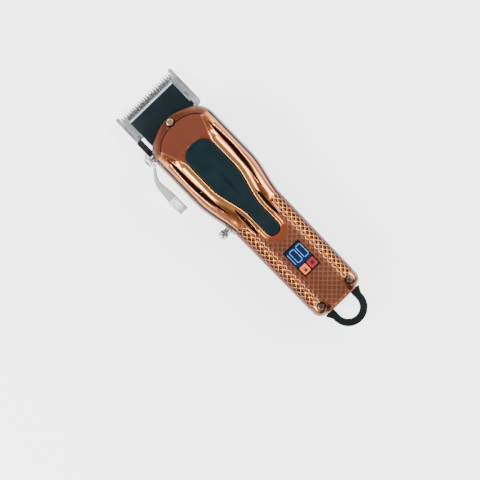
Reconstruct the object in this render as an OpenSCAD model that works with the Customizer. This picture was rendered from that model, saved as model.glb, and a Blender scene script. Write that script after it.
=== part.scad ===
// Cordless hair clipper with a taper lever, a rotary motor and a two-part metal casing.
// +X runs from the tail to the blade teeth, +Y to the lever side and +Z out of the face.
// The origin is on the flat of the back, where the clipper lies on a table. Units are millimetres.

/* [Casing] */
// Distance from the origin to the tip of the nose
front_len = 75.3; // [73.5:0.1:84]
// Distance from the origin to the tail end
tail_len = 76.2; // [74:0.1:92]
// Width of the head
head_w = 46; // [45.4:0.1:50]
// Width of the handle at the waist
waist_w = 36.8; // [36:0.1:42]
// Width of the handle at the tail
tail_w = 35.6; // [34.6:0.1:40]
// Thickness of the head, from the back to the face
head_h = 34; // [32.6:0.1:40]
// Thickness of the handle at the waist
handle_h = 30.5; // [30:0.1:36]
// Thickness of the handle at the tail
tail_h = 28.5; // [28.3:0.1:34]
// Wall of both casing shells
wall = 2.4; // [2:0.1:2.6]
// Height of the joint between the two shells
part_z = 10.6; // [10.4:0.1:10.8]
// Length of the rounded nose in plan
nose_len = 16.9; // [16:0.1:20]
// Height of the top edge of the nose tip
nose_lip_z = 15.5; // [15:0.1:17]
// Radius of the two tail corners in plan
tail_corner_r = 6.2; // [4:0.1:7]

/* [Face] */
// Greatest width of the black grip inlay
inlay_w = 19.4; // [16:0.1:20.5]
// Width of the inlay's narrow neck
inlay_neck_w = 8.8; // [7:0.1:11]
// Thickness of the inlay
inlay_t = 1.3; // [0.9:0.1:1.4]
// Length of the display window
window_len = 19.4; // [16:0.1:21]
// Width of the display window
window_w = 12.7; // [11:0.1:14]

/* [Blades] */
// Width of the stationary blade
blade_w = 46; // [45:0.1:48]
// Thickness of the stationary blade
blade_t = 2.0; // [1.6:0.1:2.0]
// Distance that the blade teeth stand out in front of the nose tip
blade_reach = 19.7; // [19:0.1:21]
// Pitch of the stationary teeth
tooth_pitch = 1.85; // [1.6:0.05:2.1]
// Number of stationary teeth
tooth_count = 22; // [18:1:23]
// Width of the moving cutter
cutter_w = 35; // [33:0.1:35.4]
// Pitch of the cutter teeth
cutter_pitch = 1.5; // [1.4:0.05:2]
// Sideways throw of the crank pin, from the shaft axis
crank_throw = 1.5; // [1:0.1:1.5]

/* [Lever] */
// Distance from the lever pivot to its tip
lever_len = 36.3; // [32:0.1:42]
// Width of the thumb pad
lever_pad_w = 6.6; // [5:0.1:7]
// Turn of the lever between its two stops, in degrees
lever_turn = 32; // [28:1:34]
// Distance from the lever pivot to its crank pin
lever_crank_r = 3.2; // [3:0.05:3.3]
// Radius of the lever hub
lever_hub_r = 5.5; // [5:0.1:5.7]

/* [Drive] */
// Diameter of the motor can
motor_d = 24.4; // [22:0.1:24.6]
// Length of the motor can
motor_len = 31; // [28:0.1:33]
// Diameter of the battery cell
battery_d = 18.3; // [14:0.1:18.5]
// Length of the battery cell
battery_len = 65; // [50:0.1:65.5]
// Travel of the power switch
switch_travel = 4; // [3:0.1:4.5]

/* [Tail] */
// Outer width of the hanging loop
loop_w = 23.2; // [21:0.1:25]
// Length of the hanging loop behind the tail
loop_len = 17.3; // [15:0.1:24]
// Thickness of the loop's rod, both ways
loop_t = 4.6; // [4:0.1:4.7]

/* [Hidden] */

copper = [0.72, 0.42, 0.26];
black = [0.12, 0.15, 0.16];
steel = [0.75, 0.76, 0.78];
board_green = [0.1, 0.35, 0.2];
brass = [0.75, 0.6, 0.35];
winding_red = [0.6, 0.25, 0.12];

clear = 0.1;       // gap between parts that slide or seat
thread_gap = 0.05; // gap round a screw in its hole
lap = 0.6;         // how far shapes reach into each other to fuse
big = 400;         // larger than the clipper
fine = 64;         // facets of a true circle

// Heights of the blade stack, from the back upwards.
blade_z = 3.0;
carriage_z = blade_z + blade_t;
carriage_t = 1.6;
platform_z = carriage_z + carriage_t + clear;
platform_t = 1.4;
cutter_z = platform_z + platform_t + 0.2;
cutter_t = 1.6;
cutter_top = cutter_z + cutter_t;

// Places along the clipper.
nose_x = front_len;
tail_x = -tail_len;
nose_mid_x = nose_x - nose_len;
waist_x = -6;
shoulder_x = 25;
cover_end_x = nose_x - 16.3;
axle_z = 15.2;
motor_x = nose_x - 25.8;
motor_r = motor_d / 2;
battery_z = 14;
battery_x = tail_x + 12.2;
board_z = 23.4;
board_t = 1.2;

// ---------------------------------------------------------------- casing surface

function mix(a, b, t) = a + (b - a) * t;
function clamp(t) = min(1, max(0, t));
function smooth(t) = let (c = clamp(t)) c * c * (3 - 2 * c);
function arc_drop(d, r) = d >= r ? 0 : r - sqrt(max(0, r * r - pow(r - d, 2)));

tail_edge_r = 2.6;   // rounding of the tail face into the face and back
tail_rise = 3;       // lift of the back at the tail
tail_rise_x = tail_x + 36.2;
front_rise = 1.6;    // lift of the back under the head
front_rise_x = 44;
flat_sink = 0.6;     // depth that the flat takes off the rounded back
nose_drop = head_h - nose_lip_z;
nose_run = 22.3;     // length of the sloping nose face

function handle_t(x) = clamp((x - tail_x) / (waist_x - tail_x));
function head_share(x) = smooth((x - waist_x) / (shoulder_x - waist_x));

// Half the width of the casing at x, set in by inset.
function half_width(x, inset = 0) =
  x > nose_mid_x
    ? (head_w / 2 - inset) * sqrt(max(0, 1 - pow((x - nose_mid_x) / (nose_len - inset), 2)))
    : mix(mix(tail_w, waist_w, handle_t(x)), head_w, head_share(x)) / 2 - inset
      - arc_drop(x - tail_x - inset, tail_corner_r);

// Height of the face along the middle.
function face_z(x, inset = 0) =
  min(mix(mix(tail_h, handle_h, handle_t(x)), head_h, head_share(x)),
      nose_lip_z + (nose_x - x) * nose_drop / nose_run)
  - arc_drop(x - tail_x - inset, tail_edge_r) - inset;

// Height of the rounded back along the middle, before the flat is taken off.
function back_z(x, inset = 0) =
  tail_rise * pow(clamp((tail_rise_x - x) / (tail_rise_x - tail_x)), 2)
  + front_rise * pow(clamp((x - front_rise_x) / (cover_end_x - front_rise_x)), 2)
  + arc_drop(x - tail_x - inset, tail_edge_r) - flat_sink + inset;

face_power = 4;      // how square the face side of the section is
back_power = 3;      // how square the back side is
face_steps = 8;
back_steps = 7;

function quarter(w, h, power, a) = [w * pow(cos(a), 2 / power), h * pow(sin(a), 2 / power)];

// One ring of the casing, from the parting line on +Y over the face and round the back.
function section_half(w, up, down) = concat(
  [for (i = [0 : face_steps]) let (q = quarter(w, up, face_power, 90 * i / face_steps)) [q[0], q[1]]],
  [for (i = [1 : face_steps]) let (q = quarter(w, up, face_power, 90 - 90 * i / face_steps)) [-q[0], q[1]]],
  [for (i = [1 : back_steps]) let (q = quarter(w, down, back_power, 90 * i / back_steps)) [-q[0], -q[1]]],
  [for (i = [1 : back_steps - 1]) let (q = quarter(w, down, back_power, 90 - 90 * i / back_steps))
    [q[0], -q[1]]]);

function ring(x, inset) =
  let (w = half_width(x, inset), up = face_z(x, inset) - part_z, down = part_z - back_z(x, inset))
  [for (p = section_half(w, up, down)) [x, p[0], part_z + p[1]]];

// Places of the rings: close together at the tail, the waist and the nose.
function stations(inset) = concat(
  [for (i = [0 : 4]) tail_x + inset + tail_corner_r * (1 - cos(90 * i / 4))],
  [for (i = [1 : 4]) mix(tail_x + inset + tail_corner_r, waist_x, i / 4)],
  [for (i = [1 : 9]) mix(waist_x, shoulder_x, i / 9)],
  [for (i = [1 : 3]) mix(shoulder_x, nose_x - nose_run, i / 3)],
  [nose_mid_x],
  [for (i = [1 : 8]) nose_mid_x + (nose_len - inset) * sin(86.5 * i / 8)]);

module loft(rings) {
  n = len(rings[0]);
  last = len(rings) - 1;
  polyhedron(
    points = [for (r = rings) for (p = r) p],
    faces = concat(
      [[for (j = [0 : n - 1]) j]],
      [for (i = [0 : last - 1]) for (j = [0 : n - 1]) let (k = (j + 1) % n)
        each [[i * n + j, (i + 1) * n + j, (i + 1) * n + k], [i * n + j, (i + 1) * n + k, i * n + k]]],
      [[for (j = [n - 1 : -1 : 0]) last * n + j]]));
}

module casing_solid(inset = 0) loft([for (x = stations(inset)) ring(x, inset)]);

module block(low, high) translate(low) cube(high - low);

// A cylinder along Y from y0 to y1.
module rod_y(x, z, y0, y1, r)
  translate([x, y0, z]) rotate([-90, 0, 0]) cylinder(r = r, h = y1 - y0, $fn = fine);

// A cylinder along X from x0 to x1.
module rod_x(x0, x1, y, z, r)
  translate([x0, y, z]) rotate([0, 90, 0]) cylinder(r = r, h = x1 - x0, $fn = fine);

// A cylinder along Z from z0 to z1.
module rod_z(x, y, z0, z1, r) translate([x, y, z0]) cylinder(r = r, h = z1 - z0, $fn = fine);

module both_sides(y) {
  translate([0, y, 0]) children();
  translate([0, -y, 0]) children();
}

module above(z) block([-big, -big, z], [big, big, big]);
module below(z) block([-big, -big, -big], [big, big, z]);

// ---------------------------------------------------------------- screws

// A pan-head screw that points down, with a cross recess in its head.
module pan_screw(shank_r, shank_len, head_r, head_t) {
  recess_w = head_r * 0.28;
  recess_l = head_r * 1.2;
  difference() {
    union() {
      translate([0, 0, -shank_len]) cylinder(r = shank_r, h = shank_len + lap, $fn = fine);
      cylinder(r = head_r, h = head_t, $fn = fine);
    }
    for (a = [0, 90])
      rotate([0, 0, a])
        translate([-recess_l / 2, -recess_w / 2, head_t * 0.45]) cube([recess_l, recess_w, head_t]);
  }
}

tail_screw_x = tail_x + 6.2;
tail_screw_y = 11.5;
tail_screw_r = 1.5;
tail_head_r = 2.3;
tail_head_t = 1.6;
tail_bore_r = 2.9;
tail_head_z = tail_h - 3.4;
tail_screw_tip = 5.2;

back_screw_x = 38;
back_screw_y = head_w / 2 - 5.4;
back_screw_r = 1.3;
back_head_r = 2.3;
back_head_t = 1.4;
back_head_z = 4.4;
back_screw_top = 18;

nose_screw_x = nose_x - 3.6;
nose_screw_r = 1.2;
nose_head_r = 2.4;
nose_head_t = 1.4;
nose_bore_r = 3.0;
nose_seat_z = nose_lip_z + 0.6;
lid_top = nose_seat_z - 1.9;
lid_t = 1.6;
lid_tongue = 4.2;

module tail_screws() color(steel)
  translate([tail_screw_x, 0, tail_head_z]) both_sides(tail_screw_y)
    pan_screw(tail_screw_r, tail_head_z - tail_screw_tip, tail_head_r, tail_head_t);

module back_screws() color(steel)
  translate([back_screw_x, 0, back_head_z]) both_sides(back_screw_y) rotate([180, 0, 0])
    pan_screw(back_screw_r, back_screw_top - back_head_z, back_head_r, back_head_t);

module nose_screw() color(brass)
  translate([nose_screw_x, 0, nose_seat_z])
    pan_screw(nose_screw_r, nose_seat_z - lid_top + lid_t - 0.2, nose_head_r, nose_head_t);

// ---------------------------------------------------------------- face openings

inlay_front_x = nose_x - 22.4;
inlay_rear_x = -20.3;
inlay_front_len = 7;
window_x = tail_x + 35.1;
window_proud = 0.2;

// Half the width of the inlay at x.
function inlay_half(x) =
  let (
    neck_x = -2,
    wide_x = 26,
    base = mix(inlay_neck_w, inlay_w, smooth((x - neck_x) / (wide_x - neck_x))) / 2,
    front = clamp((x - inlay_front_x + inlay_front_len) / inlay_front_len),
    rear = clamp((inlay_rear_x + inlay_neck_w / 2 - x) / (inlay_neck_w / 2)))
  base * sqrt(max(0, 1 - front * front)) * sqrt(max(0, 1 - rear * rear));

// Places along the inlay, closer together in its two round ends.
inlay_stations = concat(
  [for (i = [1 : 6]) inlay_rear_x + inlay_neck_w / 2 * (1 - cos(90 * i / 6))],
  [for (i = [1 : 14]) mix(inlay_rear_x + inlay_neck_w / 2, inlay_front_x - inlay_front_len, i / 14)],
  [for (i = [1 : 6]) inlay_front_x - inlay_front_len * (1 - sin(84 * i / 6))]);

module inlay_outline(grow) {
  half = [for (x = inlay_stations) [x, inlay_half(x) + grow]];
  polygon(concat(
    [[inlay_rear_x - grow, 0]], half, [[inlay_front_x + grow, 0]],
    [for (i = [len(half) - 1 : -1 : 0]) [half[i][0], -half[i][1]]]));
}

// A band that follows the face, from `low` to `high` measured from the face.
module face_band(x0, x1, low, high, half_w) {
  steps = 24;
  xs = [for (i = [0 : steps]) mix(x0, x1, i / steps)];
  rotate([90, 0, 0])
    linear_extrude(height = 2 * half_w, center = true)
      polygon(concat(
        [for (x = xs) [x, face_z(x) + high]],
        [for (i = [steps : -1 : 0]) [xs[i], face_z(xs[i]) + low]]));
}

module grip_inlay() color(black)
  intersection() {
    translate([0, 0, part_z]) linear_extrude(height = big) inlay_outline(0);
    face_band(inlay_rear_x - 2, inlay_front_x + 1, -inlay_t + clear / 2, 0.1, inlay_w);
  }

module inlay_recess()
  intersection() {
    translate([0, 0, part_z]) linear_extrude(height = big) inlay_outline(clear);
    face_band(inlay_rear_x - 2, inlay_front_x + 1, -inlay_t, 12, inlay_w);
  }

module window_block(grow, z0, z1)
  block([window_x - window_len / 2 - grow, -window_w / 2 - grow, z0],
        [window_x + window_len / 2 + grow, window_w / 2 + grow, z1]);

window_top = face_z(window_x + window_len / 2) + window_proud;
window_low = face_z(window_x - window_len / 2) - wall + 0.4;

module display_window() color(black) window_block(-clear, window_low, window_top);

// ---------------------------------------------------------------- side switch

switch_x = 1.2;
switch_z = 15;
switch_seat_y = half_width(switch_x) - 0.9;
switch_plate_t = 1.2;
switch_plate_h = 6.4;
switch_plate_l = 13.4;
switch_stem_w = 3;
switch_stem_h = 2.4;
switch_mid_x = switch_x + switch_travel / 2;
switch_slot_l = switch_travel + switch_stem_w + 2 * clear;
switch_neck_r = 2.2;
switch_head_r = 2.85;
switch_head_l = 4.5;
switch_neck_l = 2.6;

module switch_slot(y0, y1)
  block([switch_mid_x - switch_slot_l / 2, y0, switch_z - switch_stem_h / 2 - clear],
        [switch_mid_x + switch_slot_l / 2, y1, switch_z + switch_stem_h / 2 + clear]);

module switch_plate(grow, y0, y1)
  block([switch_mid_x - switch_plate_l / 2 - grow, y0, switch_z - switch_plate_h / 2 - grow],
        [switch_mid_x + switch_plate_l / 2 + grow, y1, switch_z + switch_plate_h / 2 + grow]);

module switch_bezel() color(steel)
  difference() {
    switch_plate(0, switch_seat_y, switch_seat_y + switch_plate_t);
    switch_slot(0, big);
  }

switch_body_y = switch_seat_y - wall - 2.2;

module switch_knob() color(steel) {
  neck_y = switch_seat_y + switch_plate_t + clear;
  head_y = neck_y + switch_neck_l;
  end_r = switch_head_r * 0.8;
  block([switch_x - switch_stem_w / 2, switch_body_y + clear, switch_z - switch_stem_h / 2],
        [switch_x + switch_stem_w / 2, neck_y + lap, switch_z + switch_stem_h / 2]);
  rod_y(switch_x, switch_z, neck_y, head_y + lap, switch_neck_r);
  translate([switch_x, head_y, switch_z]) rotate([-90, 0, 0])
    rotate_extrude($fn = fine)
      polygon(concat(
        [[0, 0], [switch_neck_r, 0], [switch_head_r, 0.6], [switch_head_r, switch_head_l - end_r]],
        [for (a = [15 : 15 : 90])
          [switch_head_r - end_r + end_r * cos(a), switch_head_l - end_r + end_r * sin(a)]],
        [[0, switch_head_l]]));
}

module switch_body() color(black)
  difference() {
    block([switch_mid_x - 7, switch_body_y - 4, switch_z - 3.2],
          [switch_mid_x + 7, switch_body_y, switch_z + 3.2]);
    switch_slot(switch_body_y - 1.6, big);
  }

// ---------------------------------------------------------------- hanging loop and charging socket

loop_z0 = part_z + clear;
loop_z1 = loop_z0 + loop_t;
eyelet_r = 3.4;
socket_w = 9.0;
socket_h = 3.2;
socket_len = 7.2;
charge_board_z = part_z + clear;
charge_board_t = 1.0;
socket_z0 = charge_board_z + charge_board_t;
socket_x = tail_x + 0.2;

flare_w = 2.2;

// Half of the loop's outer outline, from the round end to the eyelet. The leg flares where it meets the casing.
function loop_flare() = [
  [tail_x - 4.4, loop_w / 2],
  [tail_x - 1.6, loop_w / 2 + flare_w * 0.4],
  [tail_x - clear, loop_w / 2 + flare_w],
  [tail_x - clear, loop_w / 2],
];

// Round the eyelet, from where the leg's outer side meets it to its innermost point.
function eyelet_arc() =
  let (start = 180 - asin((loop_w / 2 - tail_screw_y) / eyelet_r))
    [for (a = [start : -(start + 90) / 30 : -89.9])
      [tail_screw_x + eyelet_r * cos(a), tail_screw_y + eyelet_r * sin(a)]];

function mirrored(points) = [for (i = [len(points) - 1 : -1 : 0]) [points[i][0], -points[i][1]]];

// The loop in plan, as one outline: a half round, two flared legs and the eyelets at their ends.
module loop_plan() {
  outer_r = loop_w / 2;
  inner_r = outer_r - loop_t;
  mid_x = tail_x - loop_len + outer_r;
  leg = concat(loop_flare(), eyelet_arc(), [[tail_screw_x, inner_r]]);
  polygon(concat(
    [for (a = [174 : -6 : 6]) [mid_x - inner_r * sin(a), -inner_r * cos(a)]],
    [[mid_x, -inner_r]],
    mirrored(leg),
    [for (a = [0 : 6 : 180]) [mid_x - outer_r * sin(a), -outer_r * cos(a)]],
    leg,
    [[mid_x, inner_r]]));
}

module hanging_loop() color(black)
  difference() {
    translate([0, 0, loop_z0]) linear_extrude(height = loop_t) loop_plan();
    translate([tail_screw_x, 0, 0]) both_sides(tail_screw_y)
      cylinder(r = tail_screw_r + clear, h = big, $fn = fine);
  }

module charge_board() color(board_green)
  block([tail_x + wall + 0.4, -6.2, charge_board_z], [tail_x + 10.4, 6.2, charge_board_z + charge_board_t]);

module charge_socket() color(steel)
  difference() {
    block([socket_x, -socket_w / 2, socket_z0], [socket_x + socket_len, socket_w / 2, socket_z0 + socket_h]);
    difference() {
      block([-big, -socket_w / 2 + 0.33, socket_z0 + 0.33],
            [socket_x + socket_len - 0.8, socket_w / 2 - 0.33, socket_z0 + socket_h - 0.33]);
      block([socket_x + 1, -3.3, socket_z0 + socket_h / 2 - 0.35],
            [big, 3.3, socket_z0 + socket_h / 2 + 0.35]);
    }
  }

// ---------------------------------------------------------------- shells

pivot_x = nose_x - 11.5;
pivot_z = 11.2;
stud_r = 1.6;
ear_t = 1.4;
ear_y = 17.3;

module tail_openings() {
  inner_r = loop_w / 2 - loop_t;
  for (s = [1, -1])
    block([tail_x - 5, s > 0 ? inner_r - clear : -loop_w / 2 - clear, part_z - 1],
          [tail_x + 9, s > 0 ? loop_w / 2 + clear : -inner_r + clear, loop_z1 + clear]);
  translate([tail_screw_x, 0, part_z - 1]) both_sides(tail_screw_y)
    cylinder(r = eyelet_r + clear, h = loop_z1 + clear - part_z + 1, $fn = fine);
  block([tail_x - 5, -socket_w / 2 - 0.2, socket_z0 - 0.2],
        [tail_x + wall + 1, socket_w / 2 + 0.2, socket_z0 + socket_h + 0.2]);
}

module front_bosses() {
  intersection() {
    casing_solid(wall / 2);
    union() {
      translate([tail_screw_x, 0, loop_z1 + clear]) both_sides(tail_screw_y)
        cylinder(r = 3.8, h = tail_h, $fn = fine);
      translate([back_screw_x, 0, part_z]) both_sides(back_screw_y) cylinder(r = 2.9, h = 10, $fn = fine);
      rod_z(nose_screw_x - 0.2, 0, lid_top, nose_seat_z + 3, 3.4);
    }
  }
}

module front_shell() color(copper)
  difference() {
    union() {
      intersection() {
        difference() {
          casing_solid(0);
          casing_solid(wall);
        }
        above(part_z);
      }
      front_bosses();
    }
    inlay_recess();
    window_block(0, part_z, big);
    tail_openings();
    switch_plate(clear, switch_seat_y, big);
    switch_slot(0, big);
    translate([tail_screw_x, 0, 0]) both_sides(tail_screw_y) {
      cylinder(r = tail_screw_r + thread_gap, h = big, $fn = fine);
      translate([0, 0, tail_head_z]) cylinder(r = tail_bore_r, h = big, $fn = fine);
    }
    translate([back_screw_x, 0, 0]) both_sides(back_screw_y)
      cylinder(r = back_screw_r + thread_gap, h = back_screw_top + 1, $fn = fine);
    rod_z(nose_screw_x, 0, 0, big, nose_screw_r + thread_gap);
    rod_z(nose_screw_x, 0, nose_seat_z, big, nose_bore_r);
    block([nose_x - 7, -lid_tongue - clear, 0], [nose_screw_x + 2 + clear, lid_tongue + clear, lid_top]);
    // Room for the lever's stud and the ear that holds it.
    rod_y(pivot_x, pivot_z, ear_y, big, stud_r + 0.4);
    block([pivot_x - stud_r - 0.4, ear_y, 0], [pivot_x + stud_r + 0.4, big, pivot_z]);
    block([pivot_x - 3.6, ear_y - 1, 0], [pivot_x + 3.2, ear_y + ear_t + 0.4, pivot_z + 3.4]);
  }

platform_x0 = motor_x + 2.2;
platform_x1 = nose_x + 0.7;
platform_screw_x = platform_x0 + 2.6;
platform_screw_y = 13.5;

module cover_bosses() {
  intersection() {
    casing_solid(wall / 2);
    union() {
      translate([tail_screw_x, 0, -1]) both_sides(tail_screw_y)
        cylinder(r = 3.4, h = part_z + 1, $fn = fine);
      translate([back_screw_x, 0, -1]) both_sides(back_screw_y)
        cylinder(r = 3.5, h = part_z + 1, $fn = fine);
      translate([platform_screw_x, 0, -1]) both_sides(platform_screw_y)
        cylinder(r = 2.8, h = platform_z + 1, $fn = fine);
    }
  }
  // Pads that the chassis stands on.
  for (x = battery_rib_x) both_sides(5) block([x, -1.5, 1.2], [x + rib_w, 1.5, chassis_z]);
  // Two ribs that carry the charging board.
  both_sides(5.6) block([tail_x + 4, -0.5, back_z(tail_x + 6) + 1.6], [tail_x + 10, 0.5, charge_board_z]);
}

module rear_cover() color(copper)
  difference() {
    union() {
      difference() {
        casing_solid(0);
        casing_solid(wall);
        above(part_z);
        block([cover_end_x, -big, -big], [big, big, big]);
      }
      // The front wall, under the blade stack.
      intersection() {
        casing_solid(0);
        block([cover_end_x - 2, -big, -big], [cover_end_x, big, carriage_z - clear]);
      }
      cover_bosses();
    }
    below(0);
    translate([tail_screw_x, 0, tail_screw_tip - 1]) both_sides(tail_screw_y)
      cylinder(r = tail_screw_r + thread_gap, h = big, $fn = fine);
    translate([back_screw_x, 0, -1]) both_sides(back_screw_y) {
      cylinder(r = back_screw_r + thread_gap, h = big, $fn = fine);
      cylinder(r = back_head_r + 0.3, h = back_head_z + 1, $fn = fine);
    }
    translate([platform_screw_x, 0, platform_z - 4]) both_sides(platform_screw_y)
      cylinder(r = platform_screw_r + thread_gap, h = big, $fn = fine);
  }

platform_screw_r = 1.1;

module platform_screws() color(steel)
  translate([platform_screw_x, 0, platform_z + platform_t]) both_sides(platform_screw_y)
    pan_screw(platform_screw_r, platform_t + 3.4, 2.0, 1.0);

// ---------------------------------------------------------------- blade stack

stack_w = 34;
guide_x = nose_x - 12.3;
guide_y = 13.9;
guide_r = 1.2;
guide_head_r = 2.4;
lever_slide = 2 * lever_crank_r * sin(lever_turn / 2);
carriage_x0 = cover_end_x + lever_slide + clear; // stays clear of the cover when it slides back
blade_screw_x = nose_x - 3.3;
blade_screw_y = 10;
blade_screw_r = 1.4;
arm_y0 = blade_w / 2 - 3.4;
arm_y1 = blade_w / 2 + 0.4;
arm_x0 = pivot_x - 2.6;
arm_top = pivot_z - stud_r - 0.2;
pin_r = 1.2;
pin_x = pivot_x + lever_crank_r * sin(lever_turn / 2);
pin_z = pivot_z - lever_crank_r * cos(lever_turn / 2);
blade_back_x = nose_x - 7.3;
notch_x = nose_x + 1.7;
notch_y = cutter_w / 2 + 0.2;
teeth_tip_x = nose_x + blade_reach;
teeth_root_x = teeth_tip_x - 4.6;
horn_x = teeth_tip_x + 1.2;
horn_w = 2.6;

// The edge points of a comb along Y, from low to high, with pointed teeth.
function comb_edge(count, pitch, root, tip, root_w, tip_w) = [
  for (i = [0 : count - 1]) let (y = (i - (count - 1) / 2) * pitch)
    each [[root, y - root_w / 2], [tip, y - tip_w / 2], [tip, y + tip_w / 2], [root, y + root_w / 2]]];

module blade_platform() color(black)
  difference() {
    union() {
      block([platform_x0, -stack_w / 2, platform_z], [platform_x1, stack_w / 2, platform_z + platform_t]);
      block([pivot_x - 3.2, stack_w / 2 - lap, platform_z],
            [pivot_x + 2, ear_y + ear_t, platform_z + platform_t]);
      block([pivot_x - 3.2, ear_y, platform_z], [pivot_x + 2, ear_y + ear_t, pivot_z + 2.8]);
    }
    translate([platform_screw_x, 0, 0]) both_sides(platform_screw_y)
      cylinder(r = platform_screw_r + 0.2, h = big, $fn = fine);
    for (s = [1, -1])
      translate([0, s * guide_y, platform_z - 1]) linear_extrude(height = platform_t + 2) {
        translate([guide_x, 0]) circle(r = guide_r + clear, $fn = fine);
        translate([guide_x - lever_slide - clear, 0]) circle(r = guide_r + clear, $fn = fine);
        translate([guide_x - lever_slide - clear, -guide_r - clear])
          square([lever_slide + clear, 2 * (guide_r + clear)]);
      }
    rod_y(pivot_x, pivot_z, ear_y - 1, big, stud_r + thread_gap);
  }

module blade_carriage() color(black)
  difference() {
    union() {
      block([carriage_x0, -stack_w / 2, carriage_z], [notch_x, stack_w / 2, carriage_z + carriage_t]);
      block([arm_x0, stack_w / 2 - lap, carriage_z], [pivot_x + 3.4, arm_y0 + lap, carriage_z + carriage_t]);
      block([arm_x0, arm_y0, blade_z + 1], [notch_x - clear, arm_y1, arm_top]);
    }
    block([pin_x - pin_r - clear, arm_y0 - 1, pivot_z - lever_crank_r - pin_r - 0.5],
          [pin_x + pin_r + clear, big, big]);
    translate([guide_x, 0, 0]) both_sides(guide_y) cylinder(r = guide_r + thread_gap, h = big, $fn = fine);
    translate([blade_screw_x, 0, 0]) both_sides(blade_screw_y)
      cylinder(r = blade_screw_r + thread_gap, h = big, $fn = fine);
  }

module guide_screws() color(steel)
  translate([guide_x, 0, platform_z + platform_t + clear / 2]) both_sides(guide_y)
    pan_screw(guide_r, platform_t + carriage_t, guide_head_r, 1.0);

module stationary_blade() color(steel)
  difference() {
    translate([0, 0, blade_z]) linear_extrude(height = blade_t)
      polygon(concat(
        [[blade_back_x + 3, -blade_w / 2], [blade_back_x, -blade_w / 2 + 3], [blade_back_x, stack_w / 2 + 0.6],
         [notch_x, notch_y], [notch_x, blade_w / 2], [horn_x - 1, blade_w / 2], [horn_x, blade_w / 2 - 0.8],
         [horn_x, blade_w / 2 - horn_w + 0.8], [horn_x - 1, blade_w / 2 - horn_w],
         [teeth_root_x, blade_w / 2 - horn_w]],
        [for (i = [tooth_count * 4 - 1 : -1 : 0])
          comb_edge(tooth_count, tooth_pitch, teeth_root_x, teeth_tip_x, tooth_pitch * 0.62, 0.5)[i]],
        [[teeth_root_x, -blade_w / 2 + horn_w], [horn_x - 1, -blade_w / 2 + horn_w],
         [horn_x, -blade_w / 2 + horn_w - 0.8], [horn_x, -blade_w / 2 + 0.8], [horn_x - 1, -blade_w / 2]]));
    translate([blade_screw_x, 0, 0]) both_sides(blade_screw_y) {
      cylinder(r = blade_screw_r + thread_gap, h = big, $fn = fine);
      translate([0, 0, blade_z - 1]) cylinder(r = 2.9, h = 2.1, $fn = fine);
    }
  }

module blade_screws() color(steel)
  translate([blade_screw_x, 0, blade_z + 1.1]) both_sides(blade_screw_y) rotate([180, 0, 0])
    pan_screw(blade_screw_r, blade_t - 1.1 + carriage_t, 2.7, 0.9);

// ---------------------------------------------------------------- cutter and its drive

cutter_back_x = nose_x - 9.3;
cutter_tip_x = teeth_tip_x - lever_slide - 0.4;
cutter_root_x = cutter_tip_x - 2.6;
cutter_bevel_x = nose_x + 13;
foot_z = carriage_z + thread_gap;
ear_len = 3;
crank_hub_x0 = motor_x + 2.9;
crank_hub_r = 4.5;
crank_hub_len = 5.6;
crank_pin_r = 1.0;
crank_pin_x0 = crank_hub_x0 + crank_hub_len;
crank_pin_x1 = crank_pin_x0 + 6.4;
crank_pin_z = axle_z + crank_throw;
slot_half = crank_pin_r + 0.14;
follower_x0 = crank_pin_x0 + 2.4;
follower_x1 = crank_pin_x1 + 0.6;
follower_base_t = 1.6;

module cutter_blade() color(black) {
  rotate([90, 0, 0])
    linear_extrude(height = cutter_w, center = true)
      polygon([
        [cutter_back_x, cutter_z], [notch_x + 1.1, cutter_z], [notch_x + 1.1, foot_z], [notch_x + 3.4, foot_z],
        [notch_x + 3.4, foot_z + 1.8], [cutter_bevel_x - 3, foot_z + 1.8], [cutter_bevel_x - 3, foot_z],
        [cutter_root_x, foot_z], [cutter_root_x, foot_z + 1.1], [cutter_bevel_x, cutter_top - 0.8],
        [cutter_bevel_x - 0.8, cutter_top], [cutter_back_x, cutter_top]]);
  // Teeth.
  count = floor((cutter_w - 1) / cutter_pitch);
  translate([0, 0, foot_z]) linear_extrude(height = 1.0)
    polygon(concat([[cutter_root_x - 1, -cutter_w / 2 + 0.4]],
      comb_edge(count, cutter_pitch, cutter_root_x - lap / 2, cutter_tip_x, cutter_pitch * 0.6, 0.55),
      [[cutter_root_x - 1, cutter_w / 2 - 0.4]]));
  // Small ear on the side away from the lever.
  block([nose_x - 5.1, -cutter_w / 2 - 1.1, cutter_z],
        [nose_x - 5.1 + ear_len, -cutter_w / 2 + lap, cutter_top]);
}

module cutter_follower() color([0.85, 0.85, 0.8])
  difference() {
    union() {
      block([cutter_back_x - 2, -7, cutter_top], [nose_x - 5, 7, cutter_top + follower_base_t]);
      block([follower_x0, -3.6, cutter_top + 0.4], [follower_x1, 3.6, axle_z + 4]);
    }
    block([-big, -slot_half, cutter_top + follower_base_t + 0.2], [big, slot_half, big]);
    translate([cutter_back_x + 4, 0, 0]) both_sides(5) cylinder(r = 0.9 + thread_gap, h = big, $fn = fine);
  }

module follower_screws() color(steel)
  translate([cutter_back_x + 4, 0, cutter_top + follower_base_t]) both_sides(5)
    pan_screw(0.9, follower_base_t, 1.4, 0.5);

module crank_cam() color(brass) {
  difference() {
    union() {
      rod_x(crank_hub_x0, crank_pin_x0, 0, axle_z, crank_hub_r);
      rod_x(crank_pin_x0 - lap, crank_pin_x1, 0, crank_pin_z, crank_pin_r);
    }
    rod_x(crank_hub_x0 - 1, crank_pin_x0 - 1.6, 0, axle_z, shaft_r + thread_gap);
    // The heavy side stays whole and the side behind the pin is cut away, which balances the throw.
    block(
      [crank_hub_x0 - 1, -crank_hub_r, axle_z + 2.9],
      [crank_pin_x0 - 2, crank_hub_r, axle_z + crank_hub_r]
    );
  }
}

// ---------------------------------------------------------------- spring, bridge and inner lid

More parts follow.
